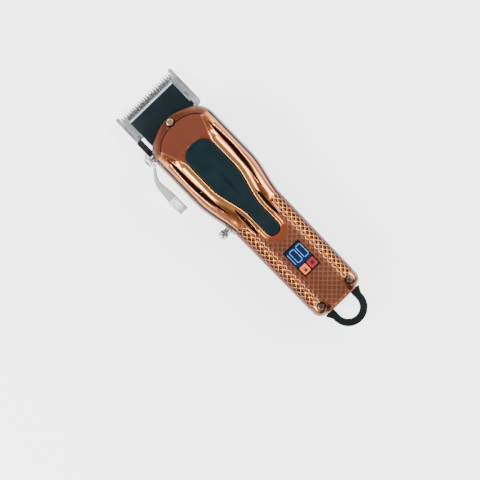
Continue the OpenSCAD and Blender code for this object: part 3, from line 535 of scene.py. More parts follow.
@dataclass(frozen=True)
class Finish:
    """One surface finish. Colours are linear, sizes are counts per metre and depths are metres."""

    name: str
    colour: Colour
    shade_colour: Colour
    metallic: float = 0.0
    roughness: float = 0.4
    rough_change: float = 0.08
    texture: Texture = Texture.POLISHED
    texture_size: float = 2200.0
    depth: float = 0.00002
    stretch: float = 40.0
    wear: float = 0.0
    wear_colour: Colour = (0.7, 0.7, 0.7)
    coat: float = 0.0
    painted: bool = False
    glow: float = 0.0
    specular: float = 0.5

    def make(self, effects: Effects) -> bpy.types.Material:
        """Builds the material.

        Args:
            effects: the shared shader groups.

        Returns:
            The finished material.
        """
        material = bpy.data.materials.new(self.name)
        material.use_nodes = True
        tree = material.node_tree
        surface = tree.nodes["Principled BSDF"]
        surface.inputs["Metallic"].default_value = self.metallic
        surface.inputs["Coat Weight"].default_value = self.coat
        surface.inputs["Coat Roughness"].default_value = 0.06
        surface.inputs["Specular IOR Level"].default_value = self.specular
        place = tree.nodes.new("ShaderNodeTexCoord").outputs["Object"]
        mottle = self._place_group(tree, effects.mottle, place, {"Size": 70.0})
        colour = self._mixed(
            tree, mottle.outputs["Mask"], self._base(tree, self.shade_colour, 0.86),
            self._base(tree, self.colour, 1.0),
        )
        if self.wear:
            worn = self._place_group(tree, effects.wear, place, {"Amount": self.wear})
            colour = self._mixed(tree, worn.outputs["Mask"], colour, self._plain(tree, self.wear_colour))
        tree.links.new(colour, surface.inputs["Base Color"])
        self._roughen(tree, surface, mottle.outputs["Mask"])
        self._texture(tree, surface, effects, place)
        if self.glow:
            tree.links.new(colour, surface.inputs["Emission Color"])
            surface.inputs["Emission Strength"].default_value = self.glow
        return material

    def _place_group(
        self, tree: Tree, group: Tree, place: Plug, values: dict[str, float]
    ) -> bpy.types.Node:
        """Places a shared group in the material, with its own values.

        Args:
            tree: node tree to add to.
            group: shared group.
            place: socket that holds the place on the surface.
            values: inputs to set, by name.

        Returns:
            The group node.
        """
        node = tree.nodes.new("ShaderNodeGroup")
        node.node_tree = group
        tree.links.new(place, node.inputs["Place"])
        for label, value in values.items():
            node.inputs[label].default_value = value
        return node

    def _plain(self, tree: Tree, colour: Colour) -> Plug:
        """A plain colour as a socket.

        Args:
            tree: node tree to add to.
            colour: colour, linear.

        Returns:
            The output of the colour node.
        """
        node = tree.nodes.new("ShaderNodeRGB")
        node.outputs[0].default_value = (*colour, 1.0)
        return node.outputs[0]

    def _base(self, tree: Tree, colour: Colour, level: float) -> Plug:
        """The finish's own colour, or the colour painted on the mesh at that level.

        Args:
            tree: node tree to add to.
            colour: colour, linear.
            level: how bright the painted colour is.

        Returns:
            The colour, as a socket.
        """
        if not self.painted:
            return self._plain(tree, colour)
        paint = tree.nodes.new("ShaderNodeAttribute")
        # The mesh attribute read here holds painted highlights, reflections and shade.
        paint.attribute_name = "painted_light_and_shade"
        return self._mixed(tree, None, self._plain(tree, (0.0, 0.0, 0.0)), paint.outputs["Color"], level)

    def _mixed(self, tree: Tree, share: Plug | None, a: Plug, b: Plug, level: float = 0.5) -> Plug:
        """Mixes two colours by a mask or by a fixed level.

        Args:
            tree: node tree to add to.
            share: mask, or None for a fixed share.
            a: first colour.
            b: second colour.
            level: share of the second colour, where there is no mask.

        Returns:
            The mixed colour.
        """
        node = tree.nodes.new("ShaderNodeMix")
        node.data_type = "RGBA"
        if share is None:
            node.inputs["Factor"].default_value = level
        else:
            tree.links.new(share, node.inputs["Factor"])
        tree.links.new(a, node.inputs[6])
        tree.links.new(b, node.inputs[7])
        return node.outputs[2]

    def _roughen(self, tree: Tree, surface: bpy.types.Node, mask: Plug) -> None:
        """Sets the roughness, which changes a little over the surface.

        Args:
            tree: node tree to add to.
            surface: Principled BSDF to set.
            mask: clouding of the surface.
        """
        if self.painted:
            paint = tree.nodes.new("ShaderNodeAttribute")
            paint.attribute_name = "satin"
            change = math_node(tree, "MULTIPLY", mask, self.rough_change)
            tree.links.new(
                math_node(tree, "ADD", paint.outputs["Fac"], change), surface.inputs["Roughness"]
            )
        else:
            rough = range_node(
                tree, mask, 0.0, 1.0, self.roughness - self.rough_change, self.roughness + self.rough_change
            )
            tree.links.new(rough, surface.inputs["Roughness"])

    def _texture(self, tree: Tree, surface: bpy.types.Node, effects: Effects, place: Plug) -> None:
        """Gives the surface its fine relief.

        Args:
            tree: node tree to add to.
            surface: Principled BSDF to set.
            effects: shared shader groups.
            place: socket that holds the place on the surface.
        """
        if self.texture is Texture.MOULDED:
            height = self._place_group(
                tree, effects.pebble, place, {"Size": self.texture_size}
            ).outputs["Height"]
        elif self.texture is Texture.DRAWN:
            values = {"Size": self.texture_size, "Stretch": self.stretch}
            height = self._place_group(tree, effects.grain, place, values).outputs["Mask"]
        else:
            height = noise_node(tree, place, self.texture_size, 2.0)
        bump = tree.nodes.new("ShaderNodeBump")
        bump.inputs["Strength"].default_value = 0.6
        bump.inputs["Distance"].default_value = self.depth
        tree.links.new(height, bump.inputs["Height"])
        tree.links.new(bump.outputs["Normal"], surface.inputs["Normal"])


class Finishes:
    """Every finish of the clipper, made when it is first asked for."""

    CATALOGUE: dict[str, Finish] = {
        f.name: f
        for f in (
            # The copper's colour is read from the mesh, where highlights, reflections and shade are
            # painted.
            Finish("copper_metal", (0.8, 0.42, 0.25), (0.6, 0.28, 0.15), metallic=1.0, rough_change=0.06,
                   painted=True, texture_size=900.0, depth=0.000004, wear=0.35,
                   wear_colour=(0.95, 0.7, 0.5)),
            Finish("black_plastic", (0.005, 0.0075, 0.0085), (0.003, 0.0045, 0.005), roughness=0.42,
                   specular=0.2, texture=Texture.MOULDED, depth=0.00003, wear=0.12,
                   wear_colour=(0.08, 0.09, 0.1)),
            Finish("inlay_black", (0.0045, 0.0135, 0.0165), (0.003, 0.0085, 0.0105), roughness=0.45,
                   specular=0.12, rough_change=0.05, texture=Texture.MOULDED, texture_size=2800.0,
                   depth=0.000012),
            Finish("brass_screw", (0.78, 0.5, 0.27), (0.55, 0.34, 0.18), metallic=1.0, roughness=0.26,
                   texture=Texture.DRAWN, texture_size=6000.0, depth=0.00001, wear=0.5,
                   wear_colour=(0.95, 0.82, 0.6)),
            Finish("steel", (0.56, 0.57, 0.59), (0.4, 0.41, 0.43), metallic=1.0, roughness=0.32,
                   texture=Texture.DRAWN, depth=0.00001),
            Finish("tail_screw_steel", (0.22, 0.17, 0.13), (0.14, 0.11, 0.08), metallic=1.0,
                   roughness=0.36, texture=Texture.DRAWN, depth=0.00001, wear=0.4,
                   wear_colour=(0.6, 0.5, 0.4)),
            Finish("dark_window", (0.002, 0.003, 0.006), (0.0015, 0.002, 0.004), roughness=0.15,
                   rough_change=0.03, texture_size=300.0, depth=0.000002, specular=0.15),
            Finish("display_black", (0.01, 0.012, 0.02), (0.006, 0.008, 0.012), roughness=0.4),
            Finish("panel_blue", (0.003, 0.012, 0.05), (0.002, 0.009, 0.038), roughness=0.3, specular=0.2,
                   glow=0.2),
            Finish("digit_blue", (0.09, 0.25, 0.55), (0.07, 0.2, 0.48), roughness=0.4, glow=0.25),
            Finish("icon_red", (0.27, 0.008, 0.022), (0.22, 0.006, 0.017), roughness=0.4, glow=0.1),
            Finish("icon_dark_red", (0.05, 0.002, 0.004), (0.035, 0.001, 0.003), roughness=0.4),
            Finish("icon_orange", (0.85, 0.17, 0.02), (0.75, 0.13, 0.015), roughness=0.4, coat=0.1,
                   glow=0.25),
            Finish("board_green", (0.012, 0.12, 0.05), (0.008, 0.08, 0.035), roughness=0.3, coat=0.5,
                   texture=Texture.DRAWN, texture_size=1500.0, depth=0.00002, stretch=6.0),
            Finish("component_black", (0.012, 0.012, 0.014), (0.02, 0.02, 0.022), roughness=0.5,
                   texture=Texture.MOULDED, depth=0.00002),
            Finish("cell_wrap", (0.03, 0.09, 0.3), (0.02, 0.06, 0.22), roughness=0.28, coat=0.3,
                   texture_size=260.0, depth=0.00003),
            Finish("magnet_grey", (0.09, 0.09, 0.1), (0.06, 0.06, 0.065), metallic=0.6, roughness=0.55,
                   texture=Texture.MOULDED, depth=0.00003),
            Finish("rubber", (0.014, 0.014, 0.014), (0.02, 0.02, 0.02), roughness=0.72,
                   texture=Texture.MOULDED, depth=0.00002),
            Finish("core_iron", (0.2, 0.2, 0.21), (0.13, 0.13, 0.14), metallic=0.9, roughness=0.42,
                   texture=Texture.DRAWN, texture_size=9000.0, depth=0.00004),
            Finish("winding", (0.5, 0.15, 0.05), (0.36, 0.1, 0.03), metallic=0.8, roughness=0.3,
                   texture=Texture.DRAWN, texture_size=3600.0, depth=0.0001, stretch=60.0),
            Finish("brass_part", (0.62, 0.42, 0.16), (0.45, 0.3, 0.1), metallic=1.0, roughness=0.28,
                   texture=Texture.DRAWN, depth=0.00001),
            Finish("black_blade", (0.005, 0.013, 0.0155), (0.0035, 0.009, 0.011), roughness=0.35,
                   specular=0.2, texture=Texture.MOULDED, texture_size=5200.0, depth=0.000004),
            Finish("white_nylon", (0.72, 0.71, 0.66), (0.6, 0.59, 0.54), roughness=0.42,
                   texture=Texture.MOULDED, depth=0.00002),
            Finish("black_metal", (0.012, 0.014, 0.015), (0.02, 0.022, 0.024), metallic=0.4,
                   roughness=0.4, texture=Texture.DRAWN, depth=0.00001),
            Finish("blade_steel", (0.6, 0.62, 0.64), (0.46, 0.48, 0.5), metallic=0.75, roughness=0.34,
                   texture=Texture.DRAWN, texture_size=5200.0, depth=0.000012, wear=0.2,
                   wear_colour=(0.9, 0.9, 0.92)),
            Finish("ground_tooth", (0.4, 0.42, 0.43), (0.26, 0.27, 0.28), metallic=1.0, roughness=0.3,
                   texture=Texture.DRAWN, texture_size=5200.0, depth=0.000012),
            # Painted shade for the sides between the teeth, where the gaps fall dark.
            Finish("tooth_gap_shade", (0.03, 0.035, 0.037), (0.02, 0.022, 0.024), metallic=0.6, roughness=0.5,
                   texture=Texture.DRAWN, texture_size=5200.0, depth=0.000012),
            Finish("satin_nickel", (0.9, 0.91, 0.92), (0.8, 0.81, 0.82), metallic=0.55, roughness=0.22,
                   rough_change=0.05, texture_size=400.0, depth=0.000003, wear=0.15,
                   wear_colour=(0.9, 0.9, 0.9)),
            Finish("chrome", (0.5, 0.51, 0.53), (0.42, 0.43, 0.45), metallic=1.0, roughness=0.16,
                   rough_change=0.05, texture_size=400.0, depth=0.000003, wear=0.15,
                   wear_colour=(0.95, 0.95, 0.95)),
            Finish("wire_red", (0.4, 0.02, 0.015), (0.3, 0.015, 0.01), roughness=0.45,
                   texture_size=900.0),
        )
    }

    def __init__(self, effects: Effects) -> None:
        """Keeps the shared effects for the finishes that are made later."""
        self.effects = effects
        self.made: dict[str, bpy.types.Material] = {}

    def get(self, name: str) -> bpy.types.Material:
        """The material of that name.

        Args:
            name: finish's name.

        Returns:
            The material.
        """
        if name not in self.made:
            self.made[name] = self.CATALOGUE[name].make(self.effects)
        return self.made[name]

    def dress(self, piece: Part, *names: str) -> Part:
        """Puts finishes in the slots of a piece's mesh, in order.

        Args:
            piece: object to dress.
            names: finishes, one for each slot.

        Returns:
            The same object.
        """
        piece.data.materials.clear()
        for name in names:
            piece.data.materials.append(self.get(name))
        return piece


@dataclass
class Piece:
    """One finished mesh: its finishes, the body it rides on and the CAD nodes it stands for."""

    shape: Part
    finishes: tuple[str, ...]
    body: str
    slot: str
    nodes: tuple[str, ...] = ()

    def dress(self, finishes: Finishes) -> None:
        """Puts the finishes on, parents the piece to the empty of the body it rides on, and hides the CAD
        nodes it replaces.

        Args:
            finishes: the materials to take from.
        """
        finishes.dress(self.shape, *self.finishes)
        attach(self.shape, self.body)
        if self.nodes:
            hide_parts(*self.nodes)


class SubAssembly:
    """Pieces of the clipper that are built together and then dressed."""

    def build(self) -> list[Piece]:
        """Builds the meshes; each sub-assembly has its own way."""
        raise NotImplementedError

    def dress(self, pieces: Sequence[Piece], finishes: Finishes) -> None:
        """Dresses every piece that build has made."""
        for piece in pieces:
            piece.dress(finishes)


# ---- casing


@dataclass
class CasingSurface:
    """The outer surface of the casing, as functions of the place along the clipper."""

    nose_x: float = 75.3 * MM
    tail_x: float = -76.2 * MM
    head_w: float = 46.0 * MM
    waist_w: float = 36.8 * MM
    tail_w: float = 35.6 * MM
    head_h: float = 34.0 * MM
    handle_h: float = 30.5 * MM
    tail_h: float = 28.5 * MM
    part_z: float = 10.6 * MM
    nose_len: float = 16.9 * MM
    nose_lip_z: float = 15.5 * MM
    nose_run: float = 22.3 * MM
    tail_corner_r: float = 6.2 * MM
    tail_edge_r: float = 2.6 * MM
    tail_rise: float = 3.0 * MM
    tail_rise_x: float = -40.0 * MM
    front_rise: float = 1.6 * MM
    front_rise_x: float = 44.0 * MM
    cover_end_x: float = 59.0 * MM
    flat_sink: float = 0.6 * MM
    waist_x: float = -6.0 * MM
    shoulder_x: float = 25.0 * MM
    face_power: float = 4.0
    back_power: float = 3.0

    @property
    def nose_mid_x(self) -> float:
        """Where the rounded nose starts."""
        return self.nose_x - self.nose_len

    def _size(self, x: Array, tail: float, waist: float, head: float) -> Array:
        """A size that goes from the tail over the waist to the head.

        Args:
            x: places along the clipper.
            tail: size at the tail.
            waist: size at the waist.
            head: size at the head.

        Returns:
            The size at each place.
        """
        handle = mix(tail, waist, np.clip((x - self.tail_x) / (self.waist_x - self.tail_x), 0, 1))
        return mix(handle, head, smooth((x - self.waist_x) / (self.shoulder_x - self.waist_x)))

    def half_width(self, x: Array, inset: float = 0.0) -> Array:
        """Half the width of the casing at x.

        Args:
            x: places along the clipper.
            inset: how far the surface lies inside the outer one.

        Returns:
            Half the width at each place.
        """
        nose = (self.head_w / 2 - inset) * np.sqrt(
            np.maximum(0.0, 1 - ((x - self.nose_mid_x) / (self.nose_len - inset)) ** 2)
        )
        side = self._size(x, self.tail_w, self.waist_w, self.head_w) / 2 - inset
        side = side - arc_drop(x - self.tail_x - inset, self.tail_corner_r)
        return np.where(x > self.nose_mid_x, nose, side)

    def face_z(self, x: Array, inset: float = 0.0) -> Array:
        """Height of the face along the middle.

        Args:
            x: places along the clipper.
            inset: how far the surface lies inside the outer one.

        Returns:
            The height at each place.
        """
        slope = self.nose_lip_z + (self.nose_x - x) * (self.head_h - self.nose_lip_z) / self.nose_run
        top = np.minimum(self._size(x, self.tail_h, self.handle_h, self.head_h), slope)
        return top - arc_drop(x - self.tail_x - inset, self.tail_edge_r) - inset

    def back_z(self, x: Array, inset: float = 0.0) -> Array:
        """Height of the rounded back along the middle, before the flat is taken off.

        Args:
            x: places along the clipper.
            inset: how far the surface lies inside the outer one.

        Returns:
            The height at each place.
        """
        tail = self.tail_rise * np.clip(
            (self.tail_rise_x - x) / (self.tail_rise_x - self.tail_x), 0, 1
        ) ** 2
        front = self.front_rise * np.clip(
            (x - self.front_rise_x) / (self.cover_end_x - self.front_rise_x), 0, 1
        ) ** 2
        return tail + front + arc_drop(x - self.tail_x - inset, self.tail_edge_r) - self.flat_sink + inset

    def arch(self, x: Array, face: bool, inset: float, steps: int) -> tuple[Array, Array]:
        """Evenly spaced points over the face or under the back.

        Args:
            x: the places of the rings.
            face: True for the face half, False for the back half.
            inset: how far the surface lies inside the outer one.
            steps: the number of points on each ring.

        Returns:
            The points, ring by point by 3, and how far each is from the middle line along the surface.
        """
        power = self.face_power if face else self.back_power
        turn = np.linspace(0, math.pi, 721)
        side = np.sign(np.cos(turn)) * np.abs(np.cos(turn)) ** (2 / power)
        rise = np.sin(turn) ** (2 / power)
        wide = self.half_width(x, inset)
        tall = self.face_z(x, inset) - self.part_z if face else self.back_z(x, inset) - self.part_z
        points = np.zeros((len(x), steps, 3))
        along = np.zeros((len(x), steps))
        for i, (place, w, h) in enumerate(zip(x, wide, tall)):
            y = w * side
            z = self.part_z + h * rise
            run = np.concatenate([[0], np.cumsum(np.hypot(np.diff(y), np.diff(z)))])
            want = np.linspace(0, run[-1], steps)
            points[i] = np.stack(
                [np.full(steps, place), np.interp(want, run, y), np.interp(want, run, z)], -1
            )
            along[i] = want - run[-1] / 2
        return points, along

    def stations(self, step: float, inset: float = 0.0, stop_x: float | None = None) -> Array:
        """Places of the rings: close together on the tail's corners and the nose.

        Args:
            step: the distance between rings on the straight part.
            inset: how far the surface lies inside the outer one.
            stop_x: where a half that has no nose ends.

        Returns:
            The places in order.
        """
        start = self.tail_x + inset
        corner = start + self.tail_corner_r * (1 - np.cos(np.linspace(0, math.pi / 2, 14)))
        end = self.nose_mid_x if stop_x is None else stop_x
        straight = np.linspace(corner[-1], end, int((end - corner[-1]) / step) + 2)[1:]
        if stop_x is not None:
            return np.concatenate([corner, straight])
        turns = np.linspace(0, math.radians(89.3), max(12, int(self.nose_len * 1.4 / step)))[1:]
        return np.concatenate([corner, straight, end + (self.nose_len - inset) * np.sin(turns)])


@dataclass
class InlayOutline:
    """The outline of the black grip inlay in plan."""

    front_x: float
    rear_x: float
    wide: float = 19.4 * MM
    neck: float = 8.8 * MM
    front_len: float = 7.0 * MM
    neck_x: float = -2.0 * MM
    wide_x: float = 26.0 * MM

    def side(self, x: Array) -> Array:
        """Half the width between the two round ends."""
        return mix(self.neck, self.wide, smooth((x - self.neck_x) / (self.wide_x - self.neck_x))) / 2

    def gap(self, x: Array, y: Array) -> Array:
        """Distance out from the outline; it is negative inside.

        Args:
            x: places along the clipper.
            y: places across the clipper.

        Returns:
            The distance at each place.
        """
        front_mid = self.front_x - self.front_len
        rear_mid = self.rear_x + self.neck / 2
        beside = np.abs(y) - self.side(x)
        front = (np.hypot((x - front_mid) / self.front_len, y / (self.wide / 2)) - 1) * self.front_len
        rear = np.hypot(x - rear_mid, y) - self.neck / 2
        return np.where(x > front_mid, front, np.where(x < rear_mid, rear, beside))

    def points(self, grow: float, steps: int = 90) -> Outline:
        """The outline as points in order round it, grown by a distance.

        Args:
            grow: how far the outline is grown.
            steps: number of points along each side.

        Returns:
            The points, as pairs of x and y.
        """
        front_mid = self.front_x - self.front_len
        rear_mid = self.rear_x + self.neck / 2
        half = [
            (front_mid + (self.front_len + grow) * math.cos(a), (self.wide / 2 + grow) * math.sin(a))
            for a in np.linspace(0, math.pi / 2, 24)
        ]
        half += [
            (x, float(self.side(np.array(x))) + grow) for x in np.linspace(front_mid, rear_mid, steps)[1:-1]
        ]
        half += [
            (rear_mid - (self.neck / 2 + grow) * math.sin(a), (self.neck / 2 + grow) * math.cos(a))
            for a in np.linspace(0, math.pi / 2, 16)
        ]
        return half + [(x, -y) for x, y in reversed(half[1:-1])]


class Coat:
    """Colour and roughness of a surface, laid on one over the other."""

    def __init__(self, shape: tuple[int, ...], rough: float) -> None:
        """Starts with black at one roughness."""
        self.colour = np.zeros((*shape, 3))
        self.rough = np.full(shape, rough)

    def lay(self, mask: Array, tint: Colour, level: float) -> None:
        """Lays one colour and its roughness over the others, where the mask is open."""
        self.colour = mix(self.colour, np.array(tint), mask[..., None])
        self.rough = mix(self.rough, level, mask)


@dataclass
class FaceSculpt:
    """The bands, grooves, nose facet and knurl worked into the casing: their relief, and their colour,
    which is painted highlights, reflections and shade.
    """

    surface: CasingSurface
    inlay: InlayOutline
    # These colours are painted light on the same copper: the bright ones are painted highlights and
    # reflections, the dark ones painted shade.
    gold_highlight: Colour = (0.64, 0.24, 0.066)
    rose_reflection: Colour = (0.46, 0.145, 0.06)
    satin: Colour = (0.13, 0.034, 0.017)
    flat_facet_sheen: Colour = (0.27, 0.07, 0.033)
    rim: Colour = (0.095, 0.027, 0.013)
    shadow: Colour = (0.012, 0.004, 0.002)
    net: Colour = (0.64, 0.28, 0.15)
    pocket: Colour = (0.29, 0.088, 0.05)
    boss: Colour = (0.38, 0.1, 0.045)
    margin: Colour = (0.2, 0.05, 0.018)
    glint: Colour = (0.84, 0.4, 0.14)
    strip: Colour = (0.21, 0.075, 0.022)
    edge_net: Colour = (0.2, 0.07, 0.04)
    edge_pocket: Colour = (0.06, 0.017, 0.009)
    knurl_pitch: float = 3.83 * MM
    knurl_end_x: float = -68.0 * MM

    def edge_gap(self, x: Array, y: Array) -> Array:
        """Distance in from the outline of the casing in plan.

        Args:
            x: places along the clipper.
            y: places across the clipper.

        Returns:
            The distance at each place.
        """
        s = self.surface
        side = s.half_width(x) - np.abs(y)
        dx = np.maximum(x - s.nose_mid_x, 0)
        share = np.hypot(dx / s.nose_len, y / (s.head_w / 2))
        reach = np.hypot(dx, y)
        nose = reach / np.maximum(share, 1e-6) - reach
        return np.where(x > s.nose_mid_x, nose, side)

    def spindle_place(self, x: Array) -> Array:
        """Distance of the dark groove's middle line in from the casing's outline."""
        return 6.3 * MM + 0.9 * MM * smooth((37 * MM - x) / (15 * MM))

    def spindle(self, x: Array, y: Array) -> Array:
        """Dark groove, thick in the middle, between the band painted as a golden highlight and the band
        painted as a pink reflection.

        Args:
            x: places along the clipper.
            y: places across the clipper.

        Returns:
            The depth of the groove at each place, from 0 to 1.
        """
        place = self.spindle_place(x)
        share = np.clip((57 * MM - x) / (50.5 * MM), 0, 1)
        half = 1.95 * MM * np.sin(math.pi * share) ** 0.7
        return window(self.edge_gap(x, y) - place, half)

    def rim_line(self, x: Array, y: Array) -> Array:
        """Thin dark line just inside the rim, from the nose to the waist."""
        run = smooth((62 * MM - x) / (3 * MM)) * smooth((x + 9 * MM) / (8 * MM))
        return window(self.edge_gap(x, y) - 1.9 * MM, 0.9 * MM) * run

    def wedge(self, x: Array, y: Array) -> Array:
        """Dark wedge between the tip of the band painted as a golden highlight and the rim of the neck.

        Args:
            x: places along the clipper.
            y: places across the clipper.

        Returns:
            The depth of the wedge at each place, from 0 to 1.
        """
        share = np.clip((8 * MM - x) / (22 * MM), 0, 1)
        half = 2.2 * MM * np.sin(math.pi * share**1.1) ** 1.1
        return window(np.abs(y) - 8.7 * MM, half)

    def facet(self, x: Array, y: Array) -> Array:
        """Satin facet of the nose: 1 ahead of the slanting crease."""
        crease = 47.3 * MM + 2.88 * (np.abs(y) - 10.9 * MM)
        return smooth(0.5 + (x - crease) / (3.2 * MM)) * smooth((x - 44 * MM) / MM)

    def nose_line(self, x: Array, y: Array) -> Array:
        """Thin dark arc round the nose."""
        return window(self.edge_gap(x, y) - 5.5 * MM, 0.62 * MM) * smooth((x - 60.5 * MM) / (2 * MM))

    def handle(self, x: Array) -> Array:
        """1 on the handle, 0 on the head."""
        return smooth((1 * MM - x) / (9 * MM))

    def boss_area(self, x: Array, y: Array) -> Array:
        """Satin boss round the rear end of the inlay.

        Args:
            x: places along the clipper.
            y: places across the clipper.

        Returns:
            1 on the boss, falling to 0 round it.
        """
        mid = -15.5 * MM
        round_end = (np.hypot((x - mid) / (10.2 * MM), y / (8.4 * MM)) - 1) * 9 * MM
        beside = np.abs(y) - 8.4 * MM
        out = np.where(x < mid, round_end, beside)
        return smooth(0.5 - out / (0.8 * MM)) * smooth((-8 * MM - x) / (7 * MM))

    def knurled(self, x: Array, y: Array, z: Array) -> Array:
        """Where the handle is knurled.

        Args:
            x: places along the clipper.
            y: places across the clipper.
            z: heights of the places.

        Returns:
            1 where the surface is knurled, falling to 0 round it.
        """
        start = np.where(np.abs(y) > 11 * MM, -1.5 * MM, -9 * MM)
        run = smooth((start - x) / (3 * MM)) * smooth((x - self.knurl_end_x) / (2 * MM))
        middle = smooth((start - x) / (3 * MM)) * smooth((x + 75.2 * MM) / MM) * (np.abs(y) < 7.2 * MM)
        low = smooth((z - self.surface.part_z - 1.2 * MM) / (1.5 * MM))
        return np.maximum(run, middle) * (1 - self.boss_area(x, y)) * low

    def net_lines(self, x: Array, along: Array) -> Array:
        """Height of the diamond net: 1 on its lines, falling to 0 in the middle of each pocket.

        Args:
            x: places along the clipper.
            along: each point's distance from the middle line, along the surface.

        Returns:
            The height at each place.
        """
        a = (x + along) / self.knurl_pitch
        b = (x - along) / self.knurl_pitch
        return np.maximum(np.abs(a - np.round(a)), np.abs(b - np.round(b))) * 2

    def lit_side(self, x: Array, along: Array) -> Array:
        """1 on the half of each diamond that faces the blade, 0 on the half that faces the tail.

        Args:
            x: places along the clipper.
            along: each point's distance from the middle line, along the surface.

        Returns:
            The mask at each place.
        """
        a = (x + along) / self.knurl_pitch
        b = (x - along) / self.knurl_pitch
        return smooth(0.5 + (a - np.round(a) + b - np.round(b)) / 0.25)

    def relief(self, points: Array, along: Array, face: bool) -> Array:
        """How far the surface is raised, in metres.

        Args:
            points: the plain surface, ring by point by 3.
            along: each point's distance from the middle line.
            face: True for the face half.

        Returns:
            The height at each point.
        """
        x, y, z = points[..., 0], points[..., 1], points[..., 2]
        knurl = self.knurled(x, y, z if face else 2 * self.surface.part_z - z)
        if not face:
            knurl = knurl * smooth((np.abs(y) - 11.5 * MM) / (1.5 * MM))
        pockets = np.clip((1 - self.net_lines(x, along)) * 1.25, 0, 1)
        steep = 0.22 * MM + 0.3 * MM * smooth((np.abs(y) - 9.5 * MM) / (2 * MM))
        height = -knurl * pockets * steep
        if not face:
            return height
        gap = self.inlay.gap(x, y)
        bevel = window(np.abs(y) - 13.2 * MM, 3.4 * MM) * self.handle(x)
        height = height - 0.85 * MM * bevel
        height = height - 1.25 * MM * self.spindle(x, y) - 0.45 * MM * self.rim_line(x, y)
        height = height - 1.2 * MM * self.wedge(x, y)
        height = height - 0.4 * MM * self.facet(x, y) - 0.4 * MM * self.nose_line(x, y)
        head = 1 - self.facet(x, y)
        height = height - 0.45 * MM * window(gap - 0.35 * MM, 0.6 * MM) * head
        height = height + 0.35 * MM * window(
            gap - 1.9 * MM, 1.3 * MM
        ) * self.handle(x + 6 * MM) * (x > -19 * MM)
        height = height + 0.5 * MM * window(gap - 2.7 * MM, 2.5 * MM) * (1 - self.handle(x)) * head
        return height

    def paint(self, points: Array, along: Array, face: bool) -> tuple[Array, Array]:
        """Colour of the copper, made of painted highlights, reflections and shade, and satin share of each
        point.

        Args:
            points: the plain surface, ring by point by 3.
            along: each point's distance from the middle line.
            face: True for the face half.

        Returns:
            The colours, ring by point by 3, and the roughness, ring by point.
        """
        x, y, z = points[..., 0], points[..., 1], points[..., 2]
        coat = Coat(x.shape, 0.2)
        lay = coat.lay
        edge = self.edge_gap(x, y)
        lay(np.ones(x.shape), self.rim, 0.28)
        head = 1 - self.handle(x)
        if face:
            # Painted light on the head: a pink reflection inside the rim, a band with a golden highlight,
            # its margin darkened with painted shade, and painted glints along the inlay and along the edge.
            lay(head * smooth((edge - 1.8 * MM) / (0.6 * MM)), self.rose_reflection, 0.14)
            spindle_place = self.spindle_place(x)
            lay(smooth((edge - spindle_place) / (0.8 * MM)) * (x > -20 * MM), self.gold_highlight, 0.15)
            gap = self.inlay.gap(x, y)
            margin = smooth((gap - 3.4 * MM) / (1.4 * MM)) * smooth((edge - spindle_place) / MM)
            lay(margin * head * 0.75, self.margin, 0.2)
            lay(window(gap - 2.5 * MM, 1.5 * MM) * head * smooth((x - 2 * MM) / (6 * MM)), self.glint, 0.16)
            lay(
                window(edge - 4.4 * MM, 1.3 * MM) * head * smooth((58 * MM - x) / (6 * MM)) * 0.7,
                self.glint, 0.14,
            )
            # On the handle the middle is painted darker as shade and the bevels with a painted golden
            # highlight.
            ends = smooth((x + 73 * MM) / (2.5 * MM))
            lay((1 - head) * smooth((13 * MM - np.abs(y)) / (2 * MM)) * ends, self.pocket, 0.3)
            bevel = window(np.abs(y) - 12.9 * MM, 3.6 * MM) ** 0.5 * self.handle(x)
            lay(bevel * ends, self.gold_highlight, 0.2)
        # Knurl: its lines are painted as highlights and its pockets as shade; the outer edge gets darker
        # painted shade, and on the strips each diamond gets a lit half and a painted shadow half, with
        # painted highlights on the lines.
        net = self.net_lines(x, along)
        lines = smooth((net - 0.8) / 0.14)
        knurl = self.knurled(x, y, z if face else 2 * self.surface.part_z - z)
        outer = smooth((np.abs(y) - 15.2 * MM) / (0.8 * MM))
        strip = smooth((np.abs(y) - 10.2 * MM) / (0.8 * MM)) * (1 - outer)
        lay(knurl * (1 - lines) * (1 - outer), self.pocket, 0.3)
        lay(knurl * lines * (1 - strip) * (1 - outer), self.net, 0.24)
        lay(knurl * outer * (1 - lines), self.edge_pocket, 0.3)
        lay(knurl * outer * lines, self.edge_net, 0.26)
        core = window(np.abs(y) - 13.0 * MM, 2.6 * MM)
        lit = np.clip(self.lit_side(x, along) * (0.2 + core) + 0.35 * core**2, 0, 1)
        lay(knurl * strip * (1 - lit), self.shadow, 0.3)
        lay(knurl * strip * lit, self.strip, 0.22)
        lay(knurl * strip * lines * (0.3 + 0.7 * core), self.gold_highlight, 0.22)
        if not face:
            return coat.colour, coat.rough
        # The boss is laid in a mid tone; round the inlay's neck runs a painted golden highlight; the flat
        # of the nose facet carries a painted reflection, its slope painted shade, and the edge round the
        # nose a darker painted shade.
        lay(self.boss_area(x, y), self.boss, 0.36)
        neck_rim = window(self.inlay.gap(x, y) - 1.9 * MM, 1.5 * MM) ** 0.6
        lay(neck_rim * self.handle(x - 6 * MM) * smooth((x + 18.5 * MM) / MM), self.gold_highlight, 0.14)
        lay(self.facet(x, y), self.flat_facet_sheen, 0.4)
        slope_x = self.surface.nose_x - self.surface.nose_run
        lay(self.facet(x, y) * smooth((x - slope_x + 0.6 * MM) / (1.2 * MM)), self.satin, 0.42)
        lay(smooth((5.4 * MM - edge) / (0.5 * MM)) * smooth((x - 59.5 * MM) / (3 * MM)), self.rim, 0.34)
        for groove, strength in (
            (self.spindle(x, y), 2.4), (self.rim_line(x, y), 1.4), (self.wedge(x, y), 2.6),
            (self.nose_line(x, y), 1.0),
        ):
            lay(np.clip(groove * strength, 0, 1), self.shadow, 0.3)
        seam = window(self.inlay.gap(x, y) - 0.3 * MM, 0.7 * MM) * (1 - self.facet(x, y))
        lay(np.clip(seam * 1.2, 0, 1), self.shadow, 0.35)
        return coat.colour, coat.rough


